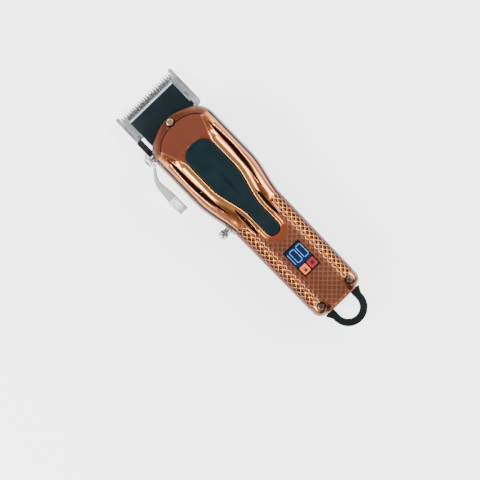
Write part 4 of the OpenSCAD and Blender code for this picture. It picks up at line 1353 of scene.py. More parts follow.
@dataclass
class Casing(SubAssembly):
    """The two metal shells with their sculpted face, and the black inlay set in it."""

    surface: CasingSurface = field(default_factory=CasingSurface)
    wall: float = 2.4 * MM
    ring_step: float = 0.3 * MM
    arch_steps: int = 300
    clear: float = 0.1 * MM
    seam_w: float = 0.7 * MM
    seam_depth: float = 0.25 * MM

    def __post_init__(self) -> None:
        """Takes places from the CAD parts."""
        low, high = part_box("grip_inlay")
        self.inlay = InlayOutline(front_x=high.x, rear_x=low.x)
        self.sculpt = FaceSculpt(self.surface, self.inlay)

    def build(self) -> list[Piece]:
        """Builds the front shell, the rear cover and the inlay."""
        return [self._front(), self._rear(), self._inlay()]

    def _half(self, name: str, face: bool, inset: float, step: float, steps: int, skirt: float) -> tuple:
        """One closed half of the casing, worked with its relief when it is the outer surface.

        Args:
            name: the object's name.
            face: True for the face half.
            inset: how far the surface lies inside the outer one.
            step: the distance between rings.
            steps: the number of points over each arch.
            skirt: how far the solid goes past the parting plane.

        Returns:
            The object, its points with their colours, and their roughness.
        """
        s = self.surface
        x = s.stations(step, inset, None if face else s.cover_end_x)
        points, along = s.arch(x, face, inset, steps)
        colour, rough = self.sculpt.paint(points, along, face)
        if not inset:
            raised = self.sculpt.relief(points, along, face)
            du = np.gradient(points, axis=0)
            dv = np.gradient(points, axis=1)
            out = np.cross(dv, du) if face else np.cross(du, dv)
            length = np.linalg.norm(out, axis=-1, keepdims=True)
            out = out / np.maximum(length, 1e-12)
            from_seam = np.minimum(along - along[:, :1], along[:, -1:] - along)
            seam = window(from_seam, self.seam_w)
            raised = raised * smooth(from_seam / (1.2 * MM)) - self.seam_depth * seam
            points = points + out * raised[..., None]
            colour = mix(colour, np.array(self.sculpt.shadow), seam[..., None])
            points[..., 2] = np.minimum(points[..., 2], s.head_h)
            points[..., 0] = np.clip(points[..., 0], s.tail_x, s.nose_x)
        foot = points[:, [-1, 0]].copy()
        foot[..., 2] = s.part_z + (-skirt if face else skirt)
        rings = np.concatenate([points, foot], axis=1) if skirt else points
        return loft(name, rings), points.reshape(-1, 3), colour.reshape(-1, 3), rough.reshape(-1)

    def _paint(self, piece: Part, places: Array, colours: Array, roughs: Array) -> None:
        """Copies colours, which are painted highlights, reflections and shade, from the worked grid to the
        nearest points of the finished mesh.

        Args:
            piece: finished shell.
            places: points of the worked grid.
            colours: colour at each of them.
            roughs: roughness at each of them.
        """
        tree = kdtree.KDTree(len(places))
        for i, place in enumerate(places):
            tree.insert(place, i)
        tree.balance()
        near = [tree.find(v.co)[1] for v in piece.data.vertices]
        painted_light_and_shade = piece.data.attributes.new("painted_light_and_shade", "FLOAT_COLOR", "POINT")
        rgba = np.concatenate([colours[near], np.ones((len(near), 1))], axis=1)
        painted_light_and_shade.data.foreach_set("color", rgba.ravel())
        satin = piece.data.attributes.new("satin", "FLOAT", "POINT")
        satin.data.foreach_set("value", roughs[near])

    def _bore(
        self, node: str, extra: float, z0: float, z1: float, sides: Sequence[float] = (1, -1)
    ) -> list:
        """Upright bores round the heads of a node's screws, wider than the heads by extra.

        Args:
            node: CAD node of the screws.
            extra: how much wider than the head.
            z0: lower end.
            z1: upper end.
            sides: which sides of the middle have one.

        Returns:
            The bores, as solids to cut with.
        """
        low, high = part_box(node)
        radius = (high.x - low.x) / 2
        x = (low.x + high.x) / 2
        y = high.y - radius
        return [
            turned(
                "bore", [(z0, radius + extra), (z1, radius + extra)], Vector((x, side * y, 0)),
                Vector((0, 0, 1)),
            )
            for side in sides
        ]

    def _front(self) -> Piece:
        """Builds the face half: sculpted outside, hollow inside, with its openings cut.

        Returns:
            The front shell.
        """
        s = self.surface
        shell, places, colours, roughs = self._half(
            "front_shell_sculpted", True, 0.0, self.ring_step, self.arch_steps, 0.0
        )
        hollow = self._half("hollow", True, self.wall, 3 * MM, 40, 1 * MM)[0]
        carve(shell, [hollow])
        deep = 1.3 * MM
        inlay_low = float(s.face_z(np.array(self.inlay.rear_x))) - deep
        pocket = self._inlay_solid("pocket", self.clear, -deep, 6 * MM)
        window_low, window_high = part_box("display_window")
        grow = Vector((self.clear, self.clear, 0))
        glass = block(
            "glass", window_low - grow - Vector((0, 0, 4 * MM)), window_high + grow + Vector((0, 0, 5 * MM))
        )
        tail_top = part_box("tail_screws")[1].z
        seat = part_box("nose_screw")[1].z - 1.4 * MM
        tools = [
            pocket, glass, *self._bore("tail_screws", 0.6 * MM, tail_top - 1.6 * MM, inlay_low + 20 * MM)
        ]
        tools += self._bore("nose_screw", 0.6 * MM, seat, seat + 30 * MM, (0,))
        tools += self._side_openings() + self._tail_openings()
        carve(shell, tools)
        self._paint(shell, places, colours, roughs)
        return Piece(shade(shell, 40), ("copper_metal",), CASING, "copper_metal", ("front_shell",))

    def _inlay_solid(self, name: str, grow: float, low: float, high: float) -> Part:
        """Solid over the inlay's outline that follows the face, from low to high above it.

        Args:
            name: name it is made with.
            grow: how far the outline is grown.
            low: lower end, from the face.
            high: upper end, from the face.

        Returns:
            The solid.
        """
        outline = self.inlay.points(grow)
        base = self.surface.face_z(np.minimum(np.array([x for x, _ in outline]), self.inlay.front_x))
        rings = np.array([[(x, y, z + lift) for (x, y), z in zip(outline, base)] for lift in (low, high)])
        return loft(name, rings)

    def _side_openings(self) -> list[Part]:
        """Seat of the switch plate, slot of its stem and room for the lever's stud.

        Returns:
            The solids to cut with.
        """
        low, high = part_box("switch_bezel")
        c = self.clear
        seat = block("seat", (low.x - c, low.y, low.z - c), (high.x + c, high.y + 9 * MM, high.z + c))
        slot = block(
            "slot", (low.x + 3.2 * MM, low.y - 6 * MM, low.z + 1.9 * MM),
            (high.x - 2.4 * MM, high.y, high.z - 1.9 * MM),
        )
        stud_low, stud_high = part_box("lever_stud")
        mid = (stud_low + stud_high) / 2
        ear = block(
            "ear", (mid.x - 3.6 * MM, stud_low.y - 0.1 * MM, 0),
            (mid.x + 3.2 * MM, stud_low.y + 2.7 * MM, mid.z + 3.4 * MM),
        )
        room = turned(
            "room", [(0, 2 * MM), (12 * MM, 2 * MM)], Vector((mid.x, stud_low.y + 0.9 * MM, mid.z)),
            Vector((0, 1, 0)),
        )
        below = block(
            "below", (mid.x - 2 * MM, stud_low.y + 0.9 * MM, 0),
            (mid.x + 2 * MM, stud_low.y + 12 * MM, mid.z),
        )
        return [seat, slot, ear, room, below]

    def _tail_openings(self) -> list[Part]:
        """Notches for the loop's legs and the mouth of the charging socket.

        Returns:
            The solids to cut with.
        """
        low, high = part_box("hanging_loop")
        rod = high.z - low.z
        outer = 11.6 * MM
        c = self.clear
        tail = self.surface.tail_x
        legs = [
            block("leg", (tail - 5 * MM, min(side * outer, side * (outer - rod)) - c, low.z - 1 * MM),
                  (tail + 6 * MM, max(side * outer, side * (outer - rod)) + c, high.z + c))
            for side in (1, -1)
        ]
        port_low, port_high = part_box("charge_socket")
        mouth = prism("mouth", self._port_outline(port_low, port_high, 0.2 * MM), 0, 1)
        mouth.data.transform(Matrix(((0, 0, 1, 0), (1, 0, 0, 0), (0, 1, 0, 0), (0, 0, 0, 1))))
        mouth.data.transform(Matrix.Diagonal((12 * MM, 1, 1, 1)))
        mouth.data.transform(Matrix.Translation((tail - 5 * MM, 0, 0)))
        return [*legs, mouth]

    def _port_outline(self, low: Vector, high: Vector, grow: float) -> Outline:
        """Round-ended outline of the charging socket, as pairs of y and z.

        Args:
            low: socket's lower corner.
            high: socket's upper corner.
            grow: how far the outline is grown.

        Returns:
            The points in order round it.
        """
        r = (high.z - low.z) / 2 + grow
        mid = (low.z + high.z) / 2
        reach = high.y + grow - r
        return arc_points(reach, mid, r, -90, 90, 12) + arc_points(-reach, mid, r, 90, 270, 12)

    def _rear(self) -> Piece:
        """Builds the back half: rounded, with the flat it lies on and its screw holes.

        Returns:
            The rear cover.
        """
        s = self.surface
        cover, places, colours, roughs = self._half("rear_cover_worked", False, 0.0, 0.5 * MM, 160, 0.0)
        end = s.cover_end_x
        hollow = self._half("hollow", False, self.wall, 3 * MM, 40, 1 * MM)[0]
        wall_keep = block(
            "front_wall", (end - 2 * MM, -30 * MM, -20 * MM), (end + 10 * MM, 30 * MM, 4.9 * MM)
        )
        carve(hollow, [wall_keep])
        low_cut = block("flat", (-0.2, -0.1, -0.05), (0.2, 0.1, 0.0))
        tools = [hollow, low_cut, *self._bore("back_screws", 0.3 * MM, -5 * MM, 4.4 * MM)]
        carve(cover, tools)
        self._paint(cover, places, colours, roughs)
        return Piece(shade(cover, 40), ("copper_metal",), CASING, "copper_metal", ("rear_cover",))

    def _inlay(self) -> Piece:
        """Builds the black inlay, crowned across and rounded at its edge.

        Returns:
            The inlay.
        """
        steps = 12
        outer = self.inlay.points(-0.02 * MM)
        rings = []
        for lift, shrink in ((-1.25, 0.0), (-0.35, 0.0), (-0.12, 0.08), (0.02, 0.3), (0.1, 0.7)):
            rings.append(self._inlay_ring(outer, lift * MM, shrink * MM))
        for i in range(1, steps):
            rings.append(self._inlay_ring(outer, 0.1 * MM, 0.7 * MM, i / steps))
        piece = loft("grip_inlay_moulded", np.array(rings))
        return Piece(shade(piece, 40), ("inlay_black",), CASING, "black_plastic", ("grip_inlay",))

    def _inlay_ring(self, outer: Outline, lift: float, shrink: float, close: float = 0.0) -> list:
        """One ring of the inlay: drawn in by shrink, then closed towards the middle line by a share.

        Args:
            outer: points of the outline.
            lift: height above the face.
            shrink: how far the outline is drawn in.
            close: share by which it closes on the middle line.

        Returns:
            The points of the ring.
        """
        ring = []
        for x, y in outer:
            yy = math.copysign(max(abs(y) - shrink, 0.02 * MM), y) * (1 - close) if y else 0.0
            mid_x = (self.inlay.front_x + self.inlay.rear_x) / 2
            xx = x - math.copysign(min(shrink, abs(x - mid_x)), x - mid_x) * (1 if abs(y) < 6 * MM else 0.2)
            top = float(self.surface.face_z(np.array(min(xx, self.inlay.front_x))))
            ring.append((xx, yy, min(top + lift, self.surface.head_h + lift)))
        return ring


# ---- screws


@dataclass
class ScrewHead:
    """A cross-head screw: domed head, cross recess and threaded shank."""

    name: str
    head_r: float
    head_t: float
    shank_r: float
    shank_len: float
    seat: Vector
    axis: Vector

    def build(self) -> Part:
        """Builds the screw as one closed mesh.

        Returns:
            The screw.
        """
        r, t = self.head_r, self.head_t
        profile = [
            (-self.shank_len, self.shank_r * 0.35), (-self.shank_len + 0.5 * self.shank_r, self.shank_r)
        ]
        pitch = 0.5 * MM
        depth = 0.12 * self.shank_r
        for i in range(int((self.shank_len - self.shank_r) / pitch)):
            at = -self.shank_len + 0.5 * self.shank_r + i * pitch
            profile += [(at + 0.25 * pitch, self.shank_r), (at + 0.75 * pitch, self.shank_r - depth)]
        profile += [(-0.02 * MM, self.shank_r), (0, r * 0.94), (0.12 * t, r)]
        profile += [
            (t * (0.45 + 0.55 * math.sin(a)), r * math.cos(a) ** 0.45) for a in np.linspace(0, 1.45, 9)
        ]
        screw = turned(self.name, profile, self.seat, self.axis)
        turn = Vector((0, 0, 1)).rotation_difference(self.axis).to_matrix().to_4x4()
        tools = []
        for angle in (0.5, 0.5 + math.pi / 2):
            tool = block("cross", (-0.62 * r, -0.15 * r, 0.42 * t), (0.62 * r, 0.15 * r, 2 * t))
            tool.data.transform(Matrix.Translation(self.seat) @ turn @ Matrix.Rotation(angle, 4, "Z"))
            tools.append(tool)
        return shade(carve(screw, tools), 35)


class Screws(SubAssembly):
    """The screws that show on the outside."""

    def build(self) -> list[Piece]:
        """Builds the nose, tail, back and lever screws from the places of their CAD nodes.

        Returns:
            The four pieces; a pair of equal screws is one.
        """
        made = [
            self._pair("tail_screws", 2.3 * MM, 1.6 * MM, 1.5 * MM, 1, "tail_screw_steel"),
            self._pair("back_screws", 2.3 * MM, 1.4 * MM, 1.3 * MM, -1, "steel"),
        ]
        low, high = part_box("nose_screw")
        seat = Vector(((low.x + high.x) / 2, 0, high.z - 1.4 * MM))
        nose = ScrewHead(
            "nose_screw_turned", 2.4 * MM, 1.4 * MM, 1.2 * MM, seat.z - low.z, seat, Vector((0, 0, 1))
        )
        made.append(Piece(nose.build(), ("brass_screw",), CASING, "brass_screw", ("nose_screw",)))
        low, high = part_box("lever_screw")
        seat = Vector(((low.x + high.x) / 2, high.y - 0.9 * MM, (low.z + high.z) / 2))
        lever = ScrewHead(
            "lever_screw_turned", 3.0 * MM, 0.9 * MM, 0.7 * MM, seat.y - low.y, seat, Vector((0, 1, 0))
        )
        made.append(Piece(lever.build(), ("chrome",), CASING, "chrome", ("lever_screw",)))
        return made

    def _pair(
        self, node: str, head_r: float, head_t: float, shank_r: float, way: int, finish: str
    ) -> Piece:
        """Two equal screws, one each side of the middle.

        Args:
            node: the CAD node of the two screws.
            head_r: the head's radius.
            head_t: the head's thickness.
            shank_r: the shank's radius.
            way: 1 for heads that face up, -1 for heads that face down.
            finish: the finish of both.

        Returns:
            Both screws as one piece.
        """
        low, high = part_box(node)
        x = (low.x + high.x) / 2
        y = high.y - head_r
        z = high.z - head_t if way > 0 else low.z + head_t
        length = z - low.z if way > 0 else high.z - z
        heads = [
            ScrewHead(
                node, head_r, head_t, shank_r, length, Vector((x, side * y, z)), Vector((0, 0, way))
            ).build()
            for side in (1, -1)
        ]
        both = joined(f"{node}_turned", heads)
        return Piece(shade(both, 35), (finish,), CASING, "steel", (node,))


# ---- display


@dataclass
class Display(SubAssembly):
    """Window in the handle with three digits and two plain icons behind it."""

    corner_r: float = 1.0 * MM
    proud: float = 0.03 * MM
    digit_len: float = 8.6 * MM
    digit_w: float = 4.1 * MM
    stroke: float = 0.52 * MM
    panel_len: float = 11.4 * MM
    tile_len: float = 5.3 * MM

    def _pad(
        self, name: str, x0: float, x1: float, y0: float, y1: float, z: float, r: float,
        t: float = 0.04 * MM,
    ) -> Part:
        """Thin rounded rectangle that lies on the window.

        Args:
            name: name it is made with.
            x0: rear edge.
            x1: front edge.
            y0: edge on the far side.
            y1: edge on the lever side.
            z: height of its under face.
            r: radius of the corners.
            t: thickness.

        Returns:
            The new object.
        """
        outline = (
            arc_points(x1 - r, y1 - r, r, 0, 90, 6) + arc_points(x0 + r, y1 - r, r, 90, 180, 6)
            + arc_points(x0 + r, y0 + r, r, 180, 270, 6) + arc_points(x1 - r, y0 + r, r, 270, 360, 6)
        )
        return prism(name, outline, z, z + t)

    def build(self) -> list[Piece]:
        """Builds the window, the lit panel, the digits and the icons.

        Returns:
            The pieces, the window first.
        """
        low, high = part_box("display_window")
        glass = self._pad(
            "display_glass", low.x, high.x, low.y, high.y, low.z, self.corner_r, high.z - low.z
        )
        made = [
            Piece(rounded(glass, 0.18 * MM), ("dark_window",), CASING, "dark_window", ("display_window",))
        ]
        top = high.z - 0.001 * MM
        right = high.x - 1.0 * MM
        edge = 0.7 * MM
        panel = self._pad(
            "display_panel", right - self.panel_len, right, low.y + edge, high.y - edge, top, 0.6 * MM
        )
        digits = joined(
            "display_digits", self._digits(right - 1.0 * MM, high.y - 0.9 * MM, top + self.proud)
        )
        made += [self._lit(panel, "panel_blue"), self._lit(digits, "digit_blue")]
        return made + self._icons(low, high, top)

    def _lit(self, shape: Part, finish: str) -> Piece:
        """A piece that lies on the window and has no CAD node of its own."""
        return Piece(shape, (finish,), CASING, "dark_window")

    def _stroke(self, x0: float, x1: float, y0: float, y1: float, z: float) -> Part:
        """One rounded stroke of a digit."""
        return self._pad("stroke", x0, x1, y0, y1, z, self.stroke * 0.45)

    def _digits(self, x1: float, y1: float, z: float) -> list[Part]:
        """The strokes of 1, 0 and 0, from the lever side to the other side.

        Args:
            x1: where the digits end towards the blade.
            y1: where the first digit starts, on the lever side.
            z: the height that the strokes lie at.

        Returns:
            The strokes, each an object.
        """
        x0 = x1 - self.digit_len
        t = self.stroke
        mid = (x0 + x1) / 2
        halves = ((x0 + t, mid - t * 0.35), (mid + t * 0.35, x1 - t))
        strokes = [self._stroke(*half, y1 - t, y1, z) for half in halves]
        for n in range(2):
            right = y1 - 1.7 * MM - n * (self.digit_w + 1.0 * MM)
            left = right - self.digit_w
            for half in halves:
                strokes.append(self._stroke(*half, right - t, right, z))
                strokes.append(self._stroke(*half, left, left + t, z))
            strokes.append(self._stroke(x0, x0 + t, left + t * 0.9, right - t * 0.9, z))
            strokes.append(self._stroke(x1 - t, x1, left + t * 0.9, right - t * 0.9, z))
        return strokes

    def _icons(self, low: Vector, high: Vector, top: float) -> list[Piece]:
        """A red tile with a dark drop and an orange tile with a dark plug.

        Args:
            low: the window's lower corner.
            high: the window's upper corner.
            top: the height that the tiles lie at.

        Returns:
            The two tiles and the two signs on them.
        """
        x0 = low.x + 0.9 * MM
        x1 = x0 + self.tile_len
        z = top + self.proud
        red = self._pad("icon_red_tile", x0, x1, low.y + 0.8 * MM, -0.3 * MM, top, 0.5 * MM)
        drop = self._pad(
            "icon_drop", x0 + 1.4 * MM, x1 - 1.4 * MM, low.y + 2.1 * MM, -1.8 * MM, z, 1.0 * MM
        )
        orange = self._pad("icon_orange_tile", x0, x1, 0.6 * MM, high.y - 0.9 * MM, top, 0.5 * MM)
        plug = [
            self._pad("plug", x0 + 1.0 * MM, x0 + 2.6 * MM, 2.0 * MM, 4.0 * MM, z, 0.5 * MM),
            self._pad("plug", x0 + 2.4 * MM, x0 + 4.2 * MM, 2.2 * MM, 2.75 * MM, z, 0.2 * MM),
            self._pad("plug", x0 + 2.4 * MM, x0 + 4.2 * MM, 3.35 * MM, 3.9 * MM, z, 0.2 * MM),
        ]
        return [
            self._lit(red, "icon_red"),
            self._lit(drop, "icon_dark_red"),
            self._lit(orange, "icon_orange"),
            self._lit(joined("icon_plug", plug), "display_black"),
        ]


# ---- hanging loop


@dataclass
class HangingLoop(SubAssembly):
    """Black moulded loop with two legs that flare at the casing and eyelets inside it."""

    tail_x: float
    outer_w: float = 23.2 * MM
    flare: float = 2.2 * MM
    flare_len: float = 5.2 * MM
    eyelet_r: float = 3.4 * MM
    eyelet_hole_r: float = 1.6 * MM
    soft: float = 0.3

    def build(self) -> list[Piece]:
        """Sweeps a rounded rod round the loop and adds the eyelets.

        Returns:
            The loop, as the only piece.
        """
        low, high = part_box("hanging_loop")
        rod = high.z - low.z
        outer_r = self.outer_w / 2
        mid_r = outer_r - rod / 2
        mid_x = low.x + outer_r
        screw_low, screw_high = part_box("tail_screws")
        screw_x = (screw_low.x + screw_high.x) / 2
        screw_y = screw_high.y - 2.3 * MM
        legs = np.linspace(screw_x, mid_x, 26)[:-1]
        path = [(x, mid_r, 0.0, 1.0) for x in legs]
        path += [
            (mid_x - mid_r * math.sin(a), mid_r * math.cos(a), -math.sin(a), math.cos(a))
            for a in np.linspace(0, math.pi, 41)
        ]
        path += [(x, -mid_r, 0.0, -1.0) for x in reversed(legs)]
        mid_z = (low.z + high.z) / 2
        turns = np.linspace(0, 2 * math.pi, 32, endpoint=False)
        rings = []
        for x, y, nx, ny in path:
            spread = self.flare * float(smooth((x - (self.tail_x - self.flare_len)) / self.flare_len))
            spread *= x < self.tail_x - 0.05 * MM
            ring = []
            for a in turns:
                c = math.copysign(abs(math.cos(a)) ** self.soft, math.cos(a))
                s = math.copysign(abs(math.sin(a)) ** self.soft, math.sin(a))
                across = rod / 2 * c + (spread if c > 0 else 0.0) * abs(c)
                ring.append((x + nx * across, y + ny * across, mid_z + rod / 2 * s))
            rings.append(ring)
        loop = loft("hanging_loop_moulded", np.array(rings))
        up = Vector((0, 0, 1))
        places = [Vector((screw_x, side * screw_y, 0)) for side in (1, -1)]
        eyelet = [(low.z, self.eyelet_r), (high.z, self.eyelet_r)]
        hole = [(low.z - MM, self.eyelet_hole_r), (high.z + MM, self.eyelet_hole_r)]
        eyelets = [turned("eyelet", eyelet, place, up) for place in places]
        holes = [turned("hole", hole, place, up) for place in places]
        carve(loop, eyelets, Carve.ADD)
        carve(loop, holes)
        return [Piece(shade(loop, 40), ("black_plastic",), CASING, "black_plastic", ("hanging_loop",))]


# ---- blade set


@dataclass
class StationaryBlade(SubAssembly):
    """Wide lower blade: ground plate, tapered teeth, corner horns and slots in the side arms."""

    teeth: int = 22
    pitch: float = 1.85 * MM
    tooth_len: float = 4.6 * MM
    horn_w: float = 2.6 * MM
    horn_lead: float = 1.2 * MM
    plate_r: float = 0.25 * MM

    @property
    def root_x(self) -> float:
        """Where the teeth leave the plate."""
        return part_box("stationary_blade")[1].x - self.horn_lead - self.tooth_len

    def build(self) -> list[Piece]:
        """Builds the plate and sets the teeth in its front edge.

        Returns:
            The blade, as the only piece.
        """
        low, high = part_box("stationary_blade")
        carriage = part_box("blade_carriage")
        half = high.y
        horn_x = high.x
        tip_x = horn_x - self.horn_lead
        root_x = self.root_x
        notch_x = carriage[1].x
        notch_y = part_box("cutter_blade")[1].y + 0.2 * MM
        back = low.x
        h = self.horn_w
        corner = arc_points(back + 3 * MM, -half + 3 * MM, 3 * MM, 270, 180, 6)
        outline = [
            *corner, (back, notch_y), (notch_x, notch_y), (notch_x, half - 0.8 * MM),
            (notch_x + 0.8 * MM, half),
        ]
        outline += self._horn(horn_x, half, 1) + [
            (root_x, half - h), (root_x, -half + h)
        ] + self._horn(horn_x, half, -1)
        plate = prism("stationary_blade_ground", outline, low.z, high.z)
        tools = []
        for side in (1, -1):
            y0, y1 = sorted((side * (half - 2.1 * MM), side * (half - 0.6 * MM)))
            slot_low = (root_x - 10.4 * MM, y0, high.z - 0.9 * MM)
            tools.append(block("slot", slot_low, (root_x - 1.2 * MM, y1, high.z + MM)))
            y0, y1 = sorted((side * (half - 5.2 * MM), side * (half - 3.4 * MM)))
            relief_low = (root_x - 14.2 * MM, y0, high.z - 0.7 * MM)
            tools.append(block("relief", relief_low, (root_x - 10.6 * MM, y1, high.z + MM)))
        carve(plate, tools)
        rounded(plate, self.plate_r, 2)
        teeth = [
            self._tooth((i - (self.teeth - 1) / 2) * self.pitch, root_x, tip_x, low.z, high.z)
            for i in range(self.teeth)
        ]
        whole = shade(joined("stationary_blade_ground", [plate, *teeth]), 35)
        return [
            Piece(whole, ("blade_steel", "tooth_gap_shade"), BLADE_SLIDE, "blade_steel", ("stationary_blade",))
        ]

    def dress(self, pieces: Sequence[Piece], finishes: Finishes) -> None:
        """Dresses the blade, and gives the sides between the teeth a darker finish that is painted shade.

        Args:
            pieces: the blade, as build has made it.
            finishes: the materials to take from.
        """
        super().dress(pieces, finishes)
        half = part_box("stationary_blade")[1].y
        root_x = self.root_x
        for face in pieces[0].shape.data.polygons:
            side = abs(face.normal.y) > 0.6 and abs(face.center.y) < half - self.horn_w - 0.1 * MM
            face.material_index = int(side and face.center.x > root_x)

    def _horn(self, x: float, half: float, side: int) -> Outline:
        """Round-tipped horn at one corner, in order round the blade.

        Args:
            x: horn's tip.
            half: half the width of the blade.
            side: 1 or -1, for the side of the middle.

        Returns:
            The points of the horn.
        """
        r = self.horn_w / 2
        points = arc_points(x - r, half - r, r, 90, -90, 10)
        return points if side > 0 else [(px, -py) for px, py in reversed(points)]

    def _tooth(self, y: float, root: float, tip: float, z0: float, z1: float) -> Part:
        """One tooth: its sides and its under face taper, and its tip is round.

        Args:
            y: tooth's middle across the clipper.
            root: where the tooth starts.
            tip: where the tooth ends.
            z0: height of its under face.
            z1: height of its top.

        Returns:
            The tooth.
        """
        thick = z1 - z0
        rings = []
        for share in (-0.12, 0.0, 0.3, 0.55, 0.8, 0.95, 1.0):
            x = mix(root, tip, share)
            s = max(share, 0.0)
            wide = mix(self.pitch * 0.3, 0.25 * MM, s) * (1.0 if s < 0.96 else 0.4)
            deep = mix(thick * 0.98, 0.7 * MM, s**0.8) * (1.0 if s < 0.96 else 0.5)
            top = z1 - 0.005 * MM - (0.0 if s < 0.96 else 0.1 * MM)
            foot = max(wide, self.pitch * 0.49 * (1 - float(smooth((s - 0.45) / 0.5))))
            half = [(wide, 0.0), (foot, deep * 0.8), (foot * 0.7, deep)]
            ring = [(x, y - wide, top)] + [(x, y + w, top - d) for w, d in half]
            rings.append(ring + [(x, y - w, top - d) for w, d in reversed(half[1:])])
        return loft("tooth", np.array(rings))


@dataclass
class CutterBlade(SubAssembly):
    """Moving upper blade: black coated body with a bare ground bevel and short teeth."""

    pitch: float = 1.5 * MM
    bevel_run: float = 2.45 * MM
    tooth_len: float = 2.6 * MM
    ear: float = 1.1 * MM

    @property
    def root_x(self) -> float:
        """Where the teeth leave the body."""
        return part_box("cutter_blade")[1].x - self.tooth_len

    @property
    def bevel_x(self) -> float:
        """Where the ground bevel starts."""
        return self.root_x - self.bevel_run

    def build(self) -> list[Piece]:
        """Builds the body with the CAD's profile and sets the teeth in it.

        Returns:
            The cutter, as the only piece.
        """
        low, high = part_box("cutter_blade")
        half = high.y
        tip = high.x
        root = self.root_x
        bevel = self.bevel_x
        top = high.z
        foot = low.z
        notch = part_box("blade_carriage")[1].x
        profile = [
            (low.x, top - 1.6 * MM), (notch + 1.2 * MM, top - 1.6 * MM), (notch + 1.2 * MM, foot),
            (notch + 3.5 * MM, foot), (
                notch + 3.5 * MM, foot + 1.8 * MM
            ), (bevel - 2.5 * MM, foot + 1.8 * MM),
            (bevel - 2.5 * MM, foot), (root, foot), (root, foot + 1.1 * MM),
            (bevel + 0.5 * MM, top - 0.3 * MM), (bevel, top), (low.x, top),
        ]
        body = loft(
            "cutter_blade_ground", np.array([[(x, y, z) for x, z in profile] for y in (-half, half)])
        )
        ear_x = notch - 6.7 * MM
        ear = block("ear", (ear_x, -half - self.ear, top - 1.6 * MM), (ear_x + 3 * MM, -half + 1 * MM, top))
        carve(body, [ear], Carve.ADD)
        rounded(body, 0.22 * MM, 2)
        count = int((2 * half - 1 * MM) / self.pitch)
        teeth = [self._tooth((i - (count - 1) / 2) * self.pitch, root, tip, foot) for i in range(count)]
        whole = shade(joined("cutter_blade_ground", [body, *teeth]), 35)
        coats = ("black_blade", "ground_tooth", "tooth_gap_shade")
        return [Piece(whole, coats, CUTTER, "black_blade", ("cutter_blade",))]

    def dress(self, pieces: Sequence[Piece], finishes: Finishes) -> None:
        """Dresses the cutter: black body, bare bevel, and sides between the teeth darkened with painted
        shade.

        Args:
            pieces: the cutter, as build has made it.
            finishes: the materials to take from.
        """
        super().dress(pieces, finishes)
        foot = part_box("cutter_blade")[0].z
        root = self.root_x
        bevel = self.bevel_x
        for face in pieces[0].shape.data.polygons:
            bare = face.center.x > bevel + 0.6 * MM or face.center.z < foot + 0.4 * MM
            side = face.center.x > root and abs(face.normal.y) > 0.6
            face.material_index = 2 if side else int(bare)

    def _tooth(self, y: float, root: float, tip: float, foot: float) -> Part:
        """One short tooth with a pointed, sloping top.

        Args:
            y: tooth's middle across the clipper.
            root: where the tooth starts.
            tip: where the tooth ends.
            foot: height of its under face.

        Returns:
            The tooth.
        """
        rings = []
        for share in (-0.3, 0.0, 0.5, 0.85, 1.0):
            x = mix(root, tip, share)
            s = max(share, 0.0)
            wide = mix(self.pitch * 0.3, 0.2 * MM, s)
            tall = mix(1.05 * MM, 0.45 * MM, s)
            half = [(wide, 0.0), (wide, tall * 0.8), (wide * 0.5, tall)]
            ring = [(x, y - wide, foot)] + [(x, y + w, foot + h) for w, h in half]
            rings.append(ring + [(x, y - w, foot + h) for w, h in reversed(half[1:])])
        return loft("tooth", np.array(rings))


class BladeCarriage:
    """Black slide that carries the stationary blade, and its platform. Both keep the CAD's shape."""

    NODES: tuple[str, ...] = ("blade_carriage", "blade_platform")

    def dress(self, finishes: Finishes) -> int:
        """Gives both nodes their finish.

        Args:
            finishes: materials to take from.

        Returns:
            How many nodes there are.
        """
        for node in self.NODES:
            finishes.dress(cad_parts[node], "black_metal")
        return len(self.NODES)


# ---- taper lever


